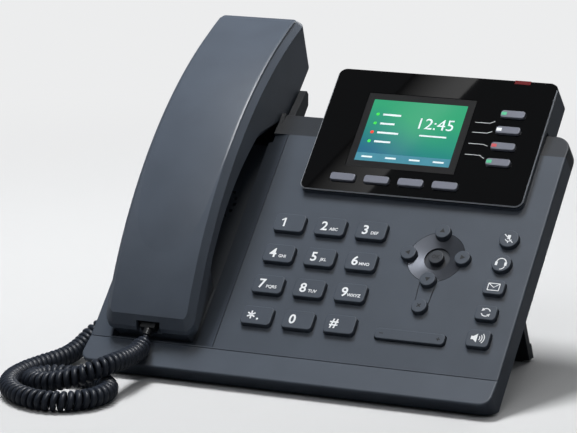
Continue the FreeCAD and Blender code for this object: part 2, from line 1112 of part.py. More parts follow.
def stand_feet(leg):
    """Pads under the leg's cut end, each as deep as the cut is."""
    sole = leg.copy()
    sole.rotate(vec(0, 0, 0), vec(1, 0, 0), face_tilt)
    level = sole.BoundBox.ZMin
    faces = [f for f in sole.Faces if f.BoundBox.ZMax < level + 1e-4]
    y0 = min(f.BoundBox.YMin for f in faces) + slip
    y1 = max(f.BoundBox.YMax for f in faces) - slip
    feet = []
    for sign in (-1, 1):
        x = sign * (foot_bar_span - pad_inset - pad_length / 2)
        feet.append(level_block(x - pad_length / 2, x + pad_length / 2, y0, y1, level - foot_height, level))
    return Part.makeCompound(feet)


# Handset

def handset_x():
    return across(pocket_left + pocket_width / 2)


def back_z(y, inset):
    radius = handset_arc - inset
    return handset_rise - handset_arc + math.sqrt(radius ** 2 - (y - handset_apex) ** 2)


def parting_edges(x, drop):
    """The line where the two handset shells meet, seen from the side, lowered by drop."""
    points = [
        (handset_low - end_bulge / 2, mouth_lip),
        (mouth_side, mouth_side_z),
        (grip_low, grip_low_z),
        (grip_high, grip_high_z),
        (ear_low, floor_z(ear_low) + ear_plate + seat_gap),
        (ear_high, floor_z(ear_high) + ear_plate + seat_gap),
    ]
    spots = [vec(x, y, z - drop) for y, z in points]
    edges = [Part.LineSegment(spots[n], spots[n + 1]).toShape() for n in (0, 1)]
    edges.append(Part.Arc(spots[2], vec(x, grip_mid, grip_mid_z - drop), spots[3]).toShape())
    edges += [Part.LineSegment(spots[n], spots[n + 1]).toShape() for n in (3, 4)]
    return edges, spots[0], spots[-1]


def handset_block(half, inset, drop):
    """The back half of the handset: an arched back over the parting line."""
    x = handset_x() - half
    edges, start, end = parting_edges(x, drop)
    low = handset_low + inset
    high = handset_high - inset
    heel = vec(x, low - end_bulge + inset / 4, end_bulge_z)
    foot = vec(x, start.y + inset, start.z)
    toe = vec(x, end.y - inset, end.z)
    first = vec(x, low, back_z(low, inset))
    last = vec(x, high, back_z(high, inset))
    crown = vec(x, handset_apex, back_z(handset_apex, inset))
    edges[0] = Part.LineSegment(foot, edges[0].Vertexes[-1].Point).toShape()
    edges[-1] = Part.LineSegment(edges[-1].Vertexes[0].Point, toe).toShape()
    edges.append(Part.LineSegment(toe, last).toShape())
    edges.append(Part.Arc(last, crown, first).toShape())
    edges.append(Part.LineSegment(first, heel).toShape())
    edges.append(Part.LineSegment(heel, foot).toShape())
    return slice_x(edges, x, x + 2 * half)


def end_corners(body):
    """The standing corner edges at the handset's two ends."""
    found = []
    for edge in body.Edges:
        box = edge.BoundBox
        at_end = box.YMax < handset_low + 1e-3 or box.YMin > ear_high - 1e-3
        if box.XLength < 1e-6 and at_end:
            found.append(edge)
    return found


def back_face(body):
    """The arched back: the largest face that looks up."""
    return max((f for f in body.Faces if face_normal(f).z > 0.9), key=lambda f: f.Area)


def handset_back_shell():
    body = handset_block(handset_half, 0.0, 0.0)
    body = body.makeFillet(handset_corner, end_corners(body))
    body = body.makeChamfer(handset_chamfer, back_face(body).OuterWire.Edges)
    hollow = handset_block(handset_half - handset_wall, handset_wall, 0.0)
    floor = handset_block(handset_half - handset_wall, handset_wall, handset_wall)
    body = body.cut(hollow.fuse(floor))
    x = handset_x()
    low = handset_jack_low
    slot = block(x - slot_half, x + slot_half, -above, handset_low + above, low, low + handset_jack_height)
    return body.cut(slot)


def handset_front_shell():
    half = mouth_half
    x = handset_x() - half
    edges, start, end = parting_edges(x, seat_gap)
    rest = seat_gap
    under = [
        (ear_high, floor_z(ear_high) + rest),
        (ear_low - 2 * ear_plate, floor_z(ear_low - 2 * ear_plate) + rest),
        (grip_high - grip_plate, grip_high_z - grip_plate),
        (grip_low + grip_plate, grip_low_z - grip_plate),
        (mouth_end, floor_z(mouth_end) + rest),
        (mouth_edge, floor_z(mouth_edge) + rest),
    ]
    spots = [vec(x, y, z) for y, z in under]
    mid = vec(x, grip_mid, grip_mid_z - grip_plate)
    edges.append(Part.LineSegment(end, spots[0]).toShape())
    edges.append(Part.LineSegment(spots[0], spots[1]).toShape())
    edges.append(Part.LineSegment(spots[1], spots[2]).toShape())
    edges.append(Part.Arc(spots[2], mid, spots[3]).toShape())
    edges.append(Part.LineSegment(spots[3], spots[4]).toShape())
    edges.append(Part.LineSegment(spots[4], spots[5]).toShape())
    edges.append(Part.LineSegment(spots[5], start).toShape())
    body = slice_x(edges, x, x + 2 * half)
    inner = half - handset_wall
    floor = floor_z(mouth_end) + mouth_floor + seat_gap
    hx = handset_x()
    y0 = mouth_edge + handset_wall
    y1 = mouth_end - handset_wall / 2
    return body.cut(block(hx - inner, hx + inner, y0, y1, floor, handset_rise))


def receiver():
    body = rod(0, 0, receiver_radius, 0, receiver_height)
    body.rotate(vec(0, 0, 0), vec(1, 0, 0), -cradle_slope)
    body.translate(vec(handset_x(), receiver_y, floor_z(receiver_y) + ear_plate + 2 * seat_gap))
    return body


def handset_microphone():
    low = floor_z(mouth_end) + mouth_floor + 2 * seat_gap
    return rod(handset_x(), microphone_y, microphone_radius, low, low + microphone_height)


def handset_jack_start():
    return handset_low + handset_wall - end_bulge / 2


def handset_jack():
    x = handset_x()
    y0 = handset_jack_start()
    low = handset_jack_low + slip
    high = handset_jack_low + handset_jack_height - slip
    half = slot_half - slip
    body = block(x - half, x + half, y0, y0 + handset_jack_length, low, high)
    wide = jack_port_width / 2
    mid = (low + high) / 2
    tall = (handset_jack_height - 2 * wall / 2) / 2
    return body.cut(block(x - wide, x + wide, y0 - overcut, y0 + jack_port_depth, mid - tall, mid + tall))


def handset_plug():
    x = handset_x()
    y0 = handset_jack_start()
    half = jack_port_width / 2 - plug_slip
    mid = handset_jack_low + handset_jack_height / 2
    tall = (handset_jack_height - wall) / 2 - plug_slip
    body = block(x - half, x + half, y0 - plug_grip, y0 + jack_port_depth - plug_slip, mid - tall, mid + tall)
    end = y0 - plug_grip - handset_relief
    relief = Part.makeCylinder(tall, handset_relief, vec(x, end, mid), vec(0, 1, 0))
    return body.fuse(relief)


# Cord

def on_desk(point):
    """Where a point of the face frame lies, from the crease line and above the desk."""
    turn = math.radians(face_tilt)
    y = point.y * math.cos(turn) - point.z * math.sin(turn)
    z = point.y * math.sin(turn) + point.z * math.cos(turn)
    return vec(point.x, y, z + crease_height)


def cord_points():
    start = vec(notch_wall() - plug_grip - relief_length, jack_y, jack_z)
    lead = start - vec(base_lead, 0)
    end_y = handset_jack_start() - plug_grip - handset_relief
    end = vec(handset_x(), end_y, handset_jack_low + handset_jack_height / 2)
    tail = end - vec(0, handset_lead)
    middle = [vec(*p) for p in cord_route]
    return [on_desk(start), on_desk(lead)] + middle + [on_desk(tail), on_desk(end)]


def cord_path(points):
    """Straight runs joined by tangent arcs, each as large as its runs allow."""
    edges = []
    at = points[0]
    for before, corner, after in zip(points, points[1:], points[2:]):
        inward = (corner - before).normalize()
        onward = (after - corner).normalize()
        turn = math.acos(max(-1.0, min(1.0, inward.dot(onward))))
        reach = 0.45 * min((corner - before).Length, (after - corner).Length)
        radius = reach / math.tan(turn / 2)
        print("cord radius %.1f, turn %.0f" % (radius, math.degrees(turn)))
        begin = corner - inward * reach
        finish = corner + onward * reach
        bend = (onward - inward).normalize()
        middle = corner + bend * (radius / math.cos(turn / 2) - radius)
        edges.append(Part.LineSegment(at, begin).toShape())
        edges.append(Part.Arc(begin, middle, finish).toShape())
        at = finish
    edges.append(Part.LineSegment(at, points[-1]).toShape())
    return Part.Wire(edges)


def coiled_cord():
    points = cord_points()
    path = cord_path(points)
    start = (points[1] - points[0]).normalize()
    ring = Part.Wire(Part.makeCircle(cord_radius, points[0], start))
    tube = path.makePipeShell([ring], True, False)
    expected = math.pi * cord_radius ** 2 * path.Length
    print("cord length %.1f, volume %.0f, expected %.0f" % (path.Length, tube.Volume, expected))
    return tube


# Assembly

def all_parts():
    parts = {
        "top_shell": top_shell(),
        "bottom_shell": bottom_shell(),
        "front_feet": front_feet(),
        "housing_screws": housing_screws(),
        "network_jacks": network_jacks(),
        "power_jack": power_jack(),
        "cord_jacks": cord_jacks(),
        "main_board": main_board(),
        "keypad_mat": keypad_mat(),
        "hook_switch": hook_switch(),
        "hook_plunger": hook_plunger(),
        "loudspeaker": loudspeaker(),
        "screen_housing": screen_housing(),
        "screen_board": screen_board(),
        "screen_panel": screen_panel(),
        "lcd_module": lcd_module(),
        "message_lamp": message_lamp(),
        "nav_dish": nav_dish(),
        "volume_rocker": volume_rocker(),
        "handset_back_shell": handset_back_shell(),
        "handset_front_shell": handset_front_shell(),
        "receiver": receiver(),
        "handset_microphone": handset_microphone(),
        "handset_jack": handset_jack(),
    }
    parts["stand"] = stand()
    parts["stand_feet"] = stand_feet(parts["stand"])
    for name, (x, y) in dial_places().items():
        parts[name] = bar_key(x, y, key_length, key_width, key_corner, flange_top, key_height)
    for name, (x, y, length, width) in bar_places().items():
        parts[name] = bar_key(x, y, length, width, key_corner, flange_top, key_height)
    for name, (x, y, radius) in disc_places().items():
        parts[name] = disc_key(x, y, radius, radius + flange_margin, flange_top, key_height)
    parts["ok_key"] = disc_key(dish_x(), dish_y, ok_radius, ok_flange, flange_top, ok_height)
    seat = panel_lift - seat_gap
    height = panel_front() + panel_key_height
    for name, (x, y, length, width) in panel_places().items():
        parts[name] = bar_key(x, y, length, width, panel_key_corner, seat, height)
    return parts


def stand_on_desk(shape):
    shape.rotate(vec(0, 0, 0), vec(1, 0, 0), face_tilt)
    shape.translate(vec(0, 0, crease_height))


def main():
    os.makedirs("parts", exist_ok=True)
    parts = all_parts()
    for shape in parts.values():
        stand_on_desk(shape)
    whole = Part.makeCompound(list(parts.values())).optimalBoundingBox()
    plugs = {"base_plug": base_plug(), "handset_plug": handset_plug()}
    for shape in plugs.values():
        stand_on_desk(shape)
    parts.update(plugs)
    parts["coiled_cord"] = coiled_cord()
    shift = vec(-whole.Center.x, -whole.Center.y, -whole.ZMin)
    print("shift", shift, "size", whole.XLength, whole.YLength, whole.ZLength)
    for name, shape in parts.items():
        shape.translate(shift)
        shape.exportStep("parts/%s.step" % name)


main()
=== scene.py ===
import json
import math

import bpy
import numpy as np
from mathutils import Matrix


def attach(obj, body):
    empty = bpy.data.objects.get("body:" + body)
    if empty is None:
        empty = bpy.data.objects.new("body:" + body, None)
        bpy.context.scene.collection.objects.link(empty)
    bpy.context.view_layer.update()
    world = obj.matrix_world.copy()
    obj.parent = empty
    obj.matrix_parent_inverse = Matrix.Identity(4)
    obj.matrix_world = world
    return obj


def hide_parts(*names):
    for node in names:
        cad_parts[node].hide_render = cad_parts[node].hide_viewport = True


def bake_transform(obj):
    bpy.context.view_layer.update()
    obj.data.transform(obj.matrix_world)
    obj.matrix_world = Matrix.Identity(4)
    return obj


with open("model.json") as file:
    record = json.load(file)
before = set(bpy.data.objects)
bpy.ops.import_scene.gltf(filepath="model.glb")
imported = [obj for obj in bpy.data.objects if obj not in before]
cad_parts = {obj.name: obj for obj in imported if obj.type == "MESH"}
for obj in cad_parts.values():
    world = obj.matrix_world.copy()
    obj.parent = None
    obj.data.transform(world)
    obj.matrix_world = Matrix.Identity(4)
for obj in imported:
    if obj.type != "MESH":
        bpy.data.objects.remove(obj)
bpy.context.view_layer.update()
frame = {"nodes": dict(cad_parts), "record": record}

bl_info = {
    "name": "Desk phone",
    "version": (1, 0, 0),
    "blender": (4, 5, 0),
    "location": "View3D > Sidebar > Desk phone",
    "description": "Dresses the frame of a desk phone with its cord, labels, screen picture and finishes",
    "category": "Object",
}

# Key face: its tilt, the crease at its foot and its length, in millimetres; the row frame is in metres
MM = 0.001
FACE_TILT = math.radians(44.0)
CREASE = np.array([0.0, -63.8118, 16.0])
FACE_LENGTH = 126.0

# The photograph's camera, placed from the middle of the crease, with lengths in millimetres
PHOTO_WIDTH = 577.0
FOCAL_PIXELS = 3081.1
SENSOR_WIDTH = 36.0
CAMERA_TURN = math.radians(23.8)
CAMERA_RISE = math.radians(12.367)
CAMERA_DISTANCE = 1446.9
CAMERA_UP = 66.105

# Lamps: place and width in metres, power in watts
LAMPS = {
    "key_light": ((-0.36, 0.15, 1.24), 0.5, 21.0),
    "sheen_light": ((0.22, -0.03, 1.32), 0.5, 17.0),
    "front_light": ((0.1, -0.8, 1.15), 0.8, 3.4),
    "back_light": ((0.15, 1.5, 0.75), 1.0, 7.0),
}
LAMP_AIM = np.array([0.0, 0.0, 0.06])
LAMP_DEPTH_SHARE = 0.7

# Floor and world: tints as linear values, the floor's wash by its distance from the phone in metres
FLOOR_HALF = 3.0
FLOOR_TINT = (0.55, 0.555, 0.56)
FLOOR_BOUNCE = (0.16, 0.165, 0.17)
FLOOR_WASH = (0.84, 0.845, 0.85)
FLOOR_ROUGH = 0.9
WASH_START = 0.22
WASH_END = 0.75
WORLD_TINT = (0.86, 0.9, 0.95)
WORLD_STRENGTH = 0.12
WORLD_SEEN = (0.9, 0.9, 0.9)

# Card that the gloss panel mirrors: its bright edge, height and width in metres, the glow at the edge's ends
CARD_EDGE = ((-0.296, -0.052), (-0.497, -0.268))
CARD_HEIGHT = 1.22
CARD_WIDTH = 0.06
CARD_GLOW = (1.5, 0.7)
CARD_TINT = (0.02, 0.02, 0.02)

# Cord route in metres: across, behind the front crease, above the desk
BASE_END = (-0.0925, 0.028677, 0.017975)
HANDSET_END = (-0.0721, -0.004983, 0.020224)
CORD_ROUTE = [
    (-0.1035, 0.028677, 0.017975),
    (-0.1130, 0.0194, 0.0116),
    (-0.1144, 0.0060, 0.0064),
    (-0.1156, -0.0070, 0.0051),
    (-0.1188, -0.0200, 0.0051),
    (-0.1215, -0.0350, 0.0051),
    (-0.1208, -0.0510, 0.0051),
    (-0.1136, -0.0660, 0.0051),
    (-0.1010, -0.0760, 0.0051),
    (-0.0860, -0.0792, 0.0051),
    (-0.0735, -0.0725, 0.0051),
    (-0.0676, -0.0600, 0.0051),
    (-0.0700, -0.0470, 0.0051),
    (-0.0790, -0.0380, 0.0051),
    (-0.0915, -0.0342, 0.0051),
    (-0.1038, -0.0350, 0.0052),
    (-0.1100, -0.0417, 0.0055),
    (-0.1100, -0.0513, 0.0061),
    (-0.1038, -0.0580, 0.0072),
    (-0.0925, -0.0602, 0.0090),
    (-0.0810, -0.0575, 0.0122),
    (-0.0732, -0.0485, 0.0153),
    (-0.0709, -0.0365, 0.0155),
    (-0.0714, -0.0246, 0.0144),
    (-0.0721, -0.0141, 0.0143),
    (-0.0721, -0.008580, 0.016751),
]
HANGING_LENGTH = 0.064
SPLINE_POINTS = 24  # in each span of the route
TURN_POINTS = 16  # along each turn of the coil
WIRE_POINTS = 10  # round the wire
CLOSING_TURNS = 2  # over which the coil closes at the cord's ends

# Crown on the handset's back, in millimetres
BACK_ARC = 226.0  # radius of the back's arch
APEX_BAND = 0.02  # depth of the band taken as its top
CROWN_RIM = 3.2  # margin left at the sides
CROWN_FOOT = 5.4  # margin left at the lower end
CROWN_HEAD = 3.4  # margin left at the upper end
CROWN_FADE = 74.0  # length over which the rise fades at each end
CROWN_CORNER = 1.8  # radius of the outline's corners
CROWN_ROLL = 0.35  # width of the rolled edge
CROWN_LIFT = 0.03  # height over the shell beside the rise
CROWN_SUNK = 0.25  # depth of the underside
CROWN_COLUMNS = 33
CROWN_ROWS = 121

# Screen picture, in millimetres from its middle; a bar is left, right, bottom, top
PICTURE_WIDTH = 49.0
PICTURE_HEIGHT = 36.7
FILM = 0.04  # thickness of a layer
CLOCK_HEIGHT = 6.4
CLOCK_PLACE = (11.5, 6.0)
CLOCK_BAR = (4.5, 18.5, -1.6, -0.7)
ROW_TOP = 9.6
ROW_PITCH = 5.4
ROW_LEFT = -17.5
ROW_HALF = 0.55
ROW_LENGTHS = (9.5, 7.5, 11.0, 8.5)
ROW_DOTS = ("green", "green", "red", "green")
DOT_ACROSS = -20.2
DOT_RADIUS = 0.9
FOOT_LEFT = -18.6
FOOT_PITCH = 12.4
FOOT_BAR = (-2.8, 2.8, -16.4, -15.4)  # across from each bar's own middle
STRIP_TOP = -13.6
STRIP_HALF_FILM = 0.02

# Gloss panel, in millimetres: its corner, the section of the pale strip round its edge that is a painted
# highlight, as (outwards, upwards), lead lines and line lights
PANEL_CORNER = 4.0
RIM_SECTION = np.array([(-0.43, 0.072), (0.06, -0.418), (-0.47, -0.5)])
LEAD_RUN = (2.6, 10.2, 12.6)  # start, bend and end, right of the screen's frame
LEAD_STARTS = (-5.6, -2.0, 0.8, 3.8)  # up from each key's middle
LEAD_ENDS = (-4.2, -0.8, 0.0, 2.2)  # up from each key's middle
LEAD_WIDTH = 0.3
LEAD_LIFT = 0.05
LINE_LIGHTS = ("green", "white", "red", "green")
LIGHT_INSET = 1.3
LIGHT_LENGTH = 2.6
LIGHT_HALF = 0.9
LIGHT_LIFT = 0.06

# Key print: words of the dialling keys, places and line widths in millimetres
DIAL_KEYS = {
    "key_1": ("1", ""),
    "key_2": ("2", "ABC"),
    "key_3": ("3", "DEF"),
    "key_4": ("4", "GHI"),
    "key_5": ("5", "JKL"),
    "key_6": ("6", "MNO"),
    "key_7": ("7", "PQRS"),
    "key_8": ("8", "TUV"),
    "key_9": ("9", "WXYZ"),
    "key_star": ("*", ""),
    "key_0": ("0", ""),
    "key_hash": ("#", ""),
}
DIGIT_SHIFT = -2.9
LETTER_SHIFT = (5.1, -1.5)
OK_HEIGHT = 1.9
TYPE_WEIGHT = 0.02  # how much type is thickened, as a share of its size
CAPITAL = 0.7  # height of a capital, as a share of the type's size
ARROW_RADIUS = 1.5
ARROW_TURNS = {"up_key": 90, "down_key": -90, "left_key": 180, "right_key": 0}
CROSS_RADIUS = 1.3
THIN_LINE = 0.4
BOLD_LINE = 0.5

# Tints of the smaller pieces, as linear values
GREY_KEY = (0.17, 0.18, 0.22)
SCREEN_FRAME = (0.011, 0.011, 0.012)
SCREEN_GLASS = (0.004, 0.006, 0.008)
SCREEN_PRINT = (0.62, 0.7, 0.72)
SCREEN_STRIP = (0.043, 0.175, 0.23)
DOT_TINTS = {"green": (0.05, 0.6, 0.08), "red": (0.75, 0.05, 0.03)}
LIGHT_TINTS = {"green": (0.10, 0.46, 0.26), "white": (0.75, 0.78, 0.8), "red": (0.52, 0.09, 0.10)}
LAMP_RED = (0.12, 0.008, 0.01)
# Pale strip round the panel's edge: a painted highlight
RIM_PAINTED_HIGHLIGHT = (0.30, 0.32, 0.35)
LEAD_WHITE = (0.6, 0.62, 0.64)
ARROW_GREY = (0.012, 0.013, 0.015)
DISH_SILVER = (0.075, 0.082, 0.098)
BOARD_GREEN = (0.03, 0.16, 0.07)
MAT_GREY = (0.25, 0.25, 0.26)
FOOT_BLACK = (0.02, 0.02, 0.02)
PLATED_STEEL = (0.4, 0.4, 0.41)
SCREW_ZINC = (0.5, 0.5, 0.5)
JACK_BLACK = (0.015, 0.015, 0.016)
PLUG_BLACK = (0.014, 0.015, 0.017)

# Slate shares: the handset's, a quarter lighter as painted light, and the upper band's, darker as painted
# shade; then half the blur of the band's edge in metres
HANDSET_PAINTED_LIGHT = 1.25
BAND_PAINTED_SHADE = 0.3
BAND_BLUR = 0.0002


class DeskPhoneSizes(bpy.types.PropertyGroup):
    """Sizes that shape the dressed pieces."""

    coil_diameter: bpy.props.FloatProperty(
        name="Coil diameter",
        description="Outside of the coiled cord",
        default=0.0098,
        unit="LENGTH",
        precision=4,
    )
    wire_diameter: bpy.props.FloatProperty(
        name="Wire diameter",
        description="Thickness of the cord's wire",
        default=0.0029,
        unit="LENGTH",
        precision=4,
    )
    coil_pitch: bpy.props.FloatProperty(
        name="Coil pitch",
        description="Distance from turn to turn",
        default=0.0034,
        unit="LENGTH",
        precision=4,
    )
    handset_crown: bpy.props.FloatProperty(
        name="Handset crown",
        description="Rise of the handset's back across its width",
        default=0.0013,
        unit="LENGTH",
        precision=4,
    )
    digit_height: bpy.props.FloatProperty(
        name="Digit height",
        description="Height of a dialling digit",
        default=0.0049,
        unit="LENGTH",
        precision=4,
    )
    letter_height: bpy.props.FloatProperty(
        name="Letter height",
        description="Height of the small letters",
        default=0.0016,
        unit="LENGTH",
        precision=4,
    )
    print_lift: bpy.props.FloatProperty(
        name="Print thickness",
        description="How far print stands off a key",
        default=0.00006,
        unit="LENGTH",
        precision=5,
    )


class DeskPhoneColours(bpy.types.PropertyGroup):
    """Colours of the finishes, as linear values."""

    slate: bpy.props.FloatVectorProperty(
        name="Slate", description="Shells and keys", default=(0.058, 0.071, 0.092), subtype="COLOR"
    )
    dark: bpy.props.FloatVectorProperty(
        name="Dark", description="Underside and stand", default=(0.034, 0.039, 0.048), subtype="COLOR"
    )
    panel: bpy.props.FloatVectorProperty(
        name="Panel", description="Gloss screen panel", default=(0.0012, 0.0012, 0.0014), subtype="COLOR"
    )
    cord: bpy.props.FloatVectorProperty(
        name="Cord", description="Coiled cord", default=(0.020, 0.025, 0.036), subtype="COLOR"
    )
    print: bpy.props.FloatVectorProperty(
        name="Print", description="Digits and icons", default=(0.82, 0.84, 0.86), subtype="COLOR"
    )
    screen_top: bpy.props.FloatVectorProperty(
        name="Screen top",
        description="Upper colour of the screen picture",
        default=(0.035, 0.40, 0.19),
        subtype="COLOR",
    )
    screen_bottom: bpy.props.FloatVectorProperty(
        name="Screen bottom",
        description="Lower colour of the screen picture",
        default=(0.010, 0.15, 0.25),
        subtype="COLOR",
    )


def sizes():
    """The sizes as they are set in the panel."""
    return bpy.context.scene.desk_phone_sizes


def colours():
    """The colours as they are set in the panel."""
    return bpy.context.scene.desk_phone_colours


# Places on the key face

def to_row(points):
    """Face points (across, up the slope, out of the face) in millimetres as row points in metres: turned by
    the tilt about X, then moved to the crease."""
    across, up, out = np.asarray(points, float).T
    c, s = math.cos(FACE_TILT), math.sin(FACE_TILT)
    turned = np.stack([across, up * c - out * s, up * s + out * c], axis=1)
    return (turned + CREASE) * MM


def to_face(points):
    """The inverse of to_row: row points in metres as face points in millimetres."""
    x, y, z = (np.asarray(points, float) / MM - CREASE).T
    c, s = math.cos(FACE_TILT), math.sin(FACE_TILT)
    return np.stack([x, y * c + z * s, z * c - y * s], axis=1)


def mesh_points(mesh):
    """A mesh's points as rows of three."""
    flat = np.empty(3 * len(mesh.vertices))
    mesh.vertices.foreach_get("co", flat)
    return flat.reshape(-1, 3)


def face_box(name):
    """Lowest and highest corner of a node in the face's own directions, in millimetres."""
    spots = to_face(mesh_points(frame["nodes"][name].data))
    return spots.min(axis=0), spots.max(axis=0)


def face_top(name):
    """Middle of a node's top on the face: across, up the slope, out of the face, in millimetres."""
    low, high = face_box(name)
    return np.array([(low[0] + high[0]) / 2, (low[1] + high[1]) / 2, high[2]])


def body_of(node):
    """Name of the body that a node moves with."""
    bodies = frame["record"]["behaviour"]["bodies"]
    return next(name for name, nodes in bodies.items() if node in nodes)


# Meshes

def add_mesh(name, points, faces, material, smooth=False):
    """A new object at the origin from points in metres."""
    mesh = bpy.data.meshes.new(name)
    mesh.from_pydata(np.asarray(points).tolist(), [], [list(map(int, f)) for f in faces])
    mesh.update()
    if smooth:
        mesh.shade_smooth()
    obj = bpy.data.objects.new(name, mesh)
    bpy.context.scene.collection.objects.link(obj)
    mesh.materials.append(material)
    return obj


def curve_parts(curve):
    """Points and faces of a curve's mesh; the curve itself is removed."""
    holder = bpy.data.objects.new(curve.name, curve)
    mesh = bpy.data.meshes.new_from_object(holder)
    points = mesh_points(mesh)
    faces = [list(p.vertices) for p in mesh.polygons]
    bpy.data.objects.remove(holder)
    bpy.data.meshes.remove(mesh)
    bpy.data.curves.remove(curve)
    return points, faces


def grid_faces(rows, columns, wrap_columns=False):
    """Four-cornered faces of a rows by columns grid of points, its columns joined in a ring where wrapped."""
    i = np.arange(rows - 1)
    j = np.arange(columns if wrap_columns else columns - 1)
    i, j = (a.ravel() for a in np.meshgrid(i, j, indexing="ij"))
    right, below = (j + 1) % columns, i + 1
    near, far = i * columns, below * columns
    return np.stack([near + j, near + right, far + right, far + j], axis=1)


def grid_edge(rows, columns):
    """The points round the edge of a rows by columns grid, one after the other."""
    return np.concatenate(
        [
            np.arange(columns),
            np.arange(1, rows) * columns + columns - 1,
            (rows - 1) * columns + np.arange(columns - 2, -1, -1),
            np.arange(rows - 2, 0, -1) * columns,
        ]
    )


def eased(share):
    """A share held between none and one, with soft ends: three times its square less twice its cube."""
    share = np.clip(share, 0.0, 1.0)
    return share * share * (3 - 2 * share)


def unit(rows):
    """Each row divided by its length."""
    return rows / np.linalg.norm(rows, axis=1)[:, None]


def joined(parts):
    """Several (points, faces) made one, each part's faces counted on from the part before."""
    points, faces, count = [], [], 0
    for spots, quads in parts:
        points.append(spots)
        faces += [[count + int(k) for k in f] for f in quads]
        count += len(spots)
    return np.concatenate(points), faces


# Flat print: outlines as rows of (across, up) in millimetres

def bar(left, right, bottom, top):
    """A level rectangle."""
    return np.array([(left, bottom), (right, bottom), (right, top), (left, top)])


def arc(x, y, radius, start, end, count=14):
    """Points of a circle from one angle to another, in degrees."""
    angle = np.radians(np.linspace(start, end, count))
    return np.c_[x + radius * np.cos(angle), y + radius * np.sin(angle)]


def disc(x, y, radius, count=20):
    """Points of a whole circle."""
    angle = np.linspace(0, 2 * math.pi, count, endpoint=False)
    return np.c_[x + radius * np.cos(angle), y + radius * np.sin(angle)]


def stroke(points, width):
    """A line of the given width: each point moved half a width to both sides, along its runs' mean normal."""
    spots = np.asarray(points, float)
    runs = unit(np.diff(spots, axis=0))
    ahead = np.vstack([runs[:1], (runs[:-1] + runs[1:]) / 2, runs[-1:]])
    side = unit(np.c_[-ahead[:, 1], ahead[:, 0]])
    return np.vstack([spots - side * width / 2, (spots + side * width / 2)[::-1]])


def slab(outline, low, high):
    """An outline carried from low to high out of the face, closed at both ends."""
    n = len(outline)
    points = np.concatenate([np.c_[outline, np.full(n, low)], np.c_[outline, np.full(n, high)]])
    k = np.arange(n)
    sides = np.stack([k, (k + 1) % n, (k + 1) % n + n, k + n], axis=1).tolist()
    return points, sides + [list(range(n - 1, -1, -1)), list(range(n, 2 * n))]


def lettering(words, height, weight, x, y, low, lift):
    """A line of type, made a mesh first, scaled by the height of its capitals and centred on a face point."""
    curve = bpy.data.curves.new("lettering", "FONT")
    curve.body = words
    curve.offset = weight
    curve.extrude = 0.01
    curve.resolution_u = 3
    points, faces = curve_parts(curve)
    middle = (points[:, :2].min(axis=0) + points[:, :2].max(axis=0)) / 2
    spots = (points[:, :2] - middle) * (height / CAPITAL) + np.array([x, y])
    return np.c_[spots, low + (points[:, 2] > 0) * lift], faces


def printed(name, parts, node, material):
    """Print on a node: parts in the face frame made one piece that rides on the node's body."""
    points, faces = joined(parts)
    obj = add_mesh(name, to_row(points), faces, material)
    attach(obj, body_of(node))
    return obj


# Finishes

def add_node(tree, kind, values=None, operation=None):
    """A new shader node, with its inputs set by name or number."""
    node = tree.nodes.new("ShaderNode" + kind)
    if operation:
        node.operation = operation
    set_inputs(node, values or {})
    return node


def set_inputs(node, values):
    """Sets a node's inputs, each by its name or number."""
    for socket, value in values.items():
        node.inputs[socket].default_value = value


def wire(tree, *links):
    """Links of a node tree, each as a node and its output, then a node and its input."""
    for giver, output, taker, socket in links:
        tree.links.new(giver.outputs[output], taker.inputs[socket])


def colour_ramp(tree, *stops):
    """A ramp between two colours, each with its place on the ramp."""
    ramp = add_node(tree, "ValToRGB")
    for element, (place, colour) in zip(ramp.color_ramp.elements, stops):
        element.position = place
        element.color = (*colour, 1.0)
    return ramp


def new_finish(name):
    """A material with its tree, its shader and its texture coordinates."""
    material = bpy.data.materials.new(name)
    material.use_nodes = True
    tree = material.node_tree
    return material, tree, tree.nodes["Principled BSDF"], add_node(tree, "TexCoord")


def mottled(tree, place, shader, colour, spread, scale):
    """Base colour that wanders a little round its mean with a noise over the object."""
    noise = add_node(tree, "TexNoise", {"Scale": scale, "Detail": 4.0})
    darker = [c * (1 - spread) for c in colour]
    lighter = [c * (1 + spread) for c in colour]
    ramp = colour_ramp(tree, (0.3, darker), (0.7, lighter))
    wire(
        tree,
        (place, "Object", noise, "Vector"),
        (noise, "Fac", ramp, "Fac"),
        (ramp, "Color", shader, "Base Color"),
    )


def grained(tree, place, shader, scale, depth):
    """Fine moulded grain as a bump."""
    noise = add_node(tree, "TexNoise", {"Scale": scale})
    bump = add_node(tree, "Bump", {"Strength": 0.25, "Distance": depth})
    wire(
        tree,
        (place, "Object", noise, "Vector"),
        (noise, "Fac", bump, "Height"),
        (bump, "Normal", shader, "Normal"),
    )


def satin(name, colour, rough=0.5, spread=0.06, sheen=0.36):
    """Moulded plastic or rubber with a fine grain."""
    material, tree, shader, place = new_finish(name)
    mottled(tree, place, shader, colour, spread, scale=60.0)
    grained(tree, place, shader, scale=2600.0, depth=0.00004)
    set_inputs(shader, {"Roughness": rough, "Specular IOR Level": sheen})
    return material


def band_painted_shade(name, colour, painted_shade):
    """The shell's satin, with painted shade darkening the band above the key face: the place up the slope
    picks where it falls.
    """
    material = satin(name, colour)
    tree = material.node_tree
    shader = tree.nodes["Principled BSDF"]
    upwards = (0.0, math.cos(FACE_TILT), math.sin(FACE_TILT))
    edge = (CREASE @ upwards + FACE_LENGTH) * MM
    place = add_node(tree, "TexCoord")
    slope = add_node(tree, "VectorMath", {1: upwards}, "DOT_PRODUCT")
    span = {"From Min": edge - BAND_BLUR, "From Max": edge + BAND_BLUR, "To Min": 1.0, "To Max": painted_shade}
    step = add_node(tree, "MapRange", span)
    darker = add_node(tree, "VectorMath", operation="SCALE")
    tree.links.new(shader.inputs["Base Color"].links[0].from_socket, darker.inputs[0])
    wire(
        tree,
        (place, "Object", slope, 0),
        (slope, "Value", step, "Value"),
        (step, "Result", darker, "Scale"),
        (darker, "Vector", shader, "Base Color"),
    )
    return material


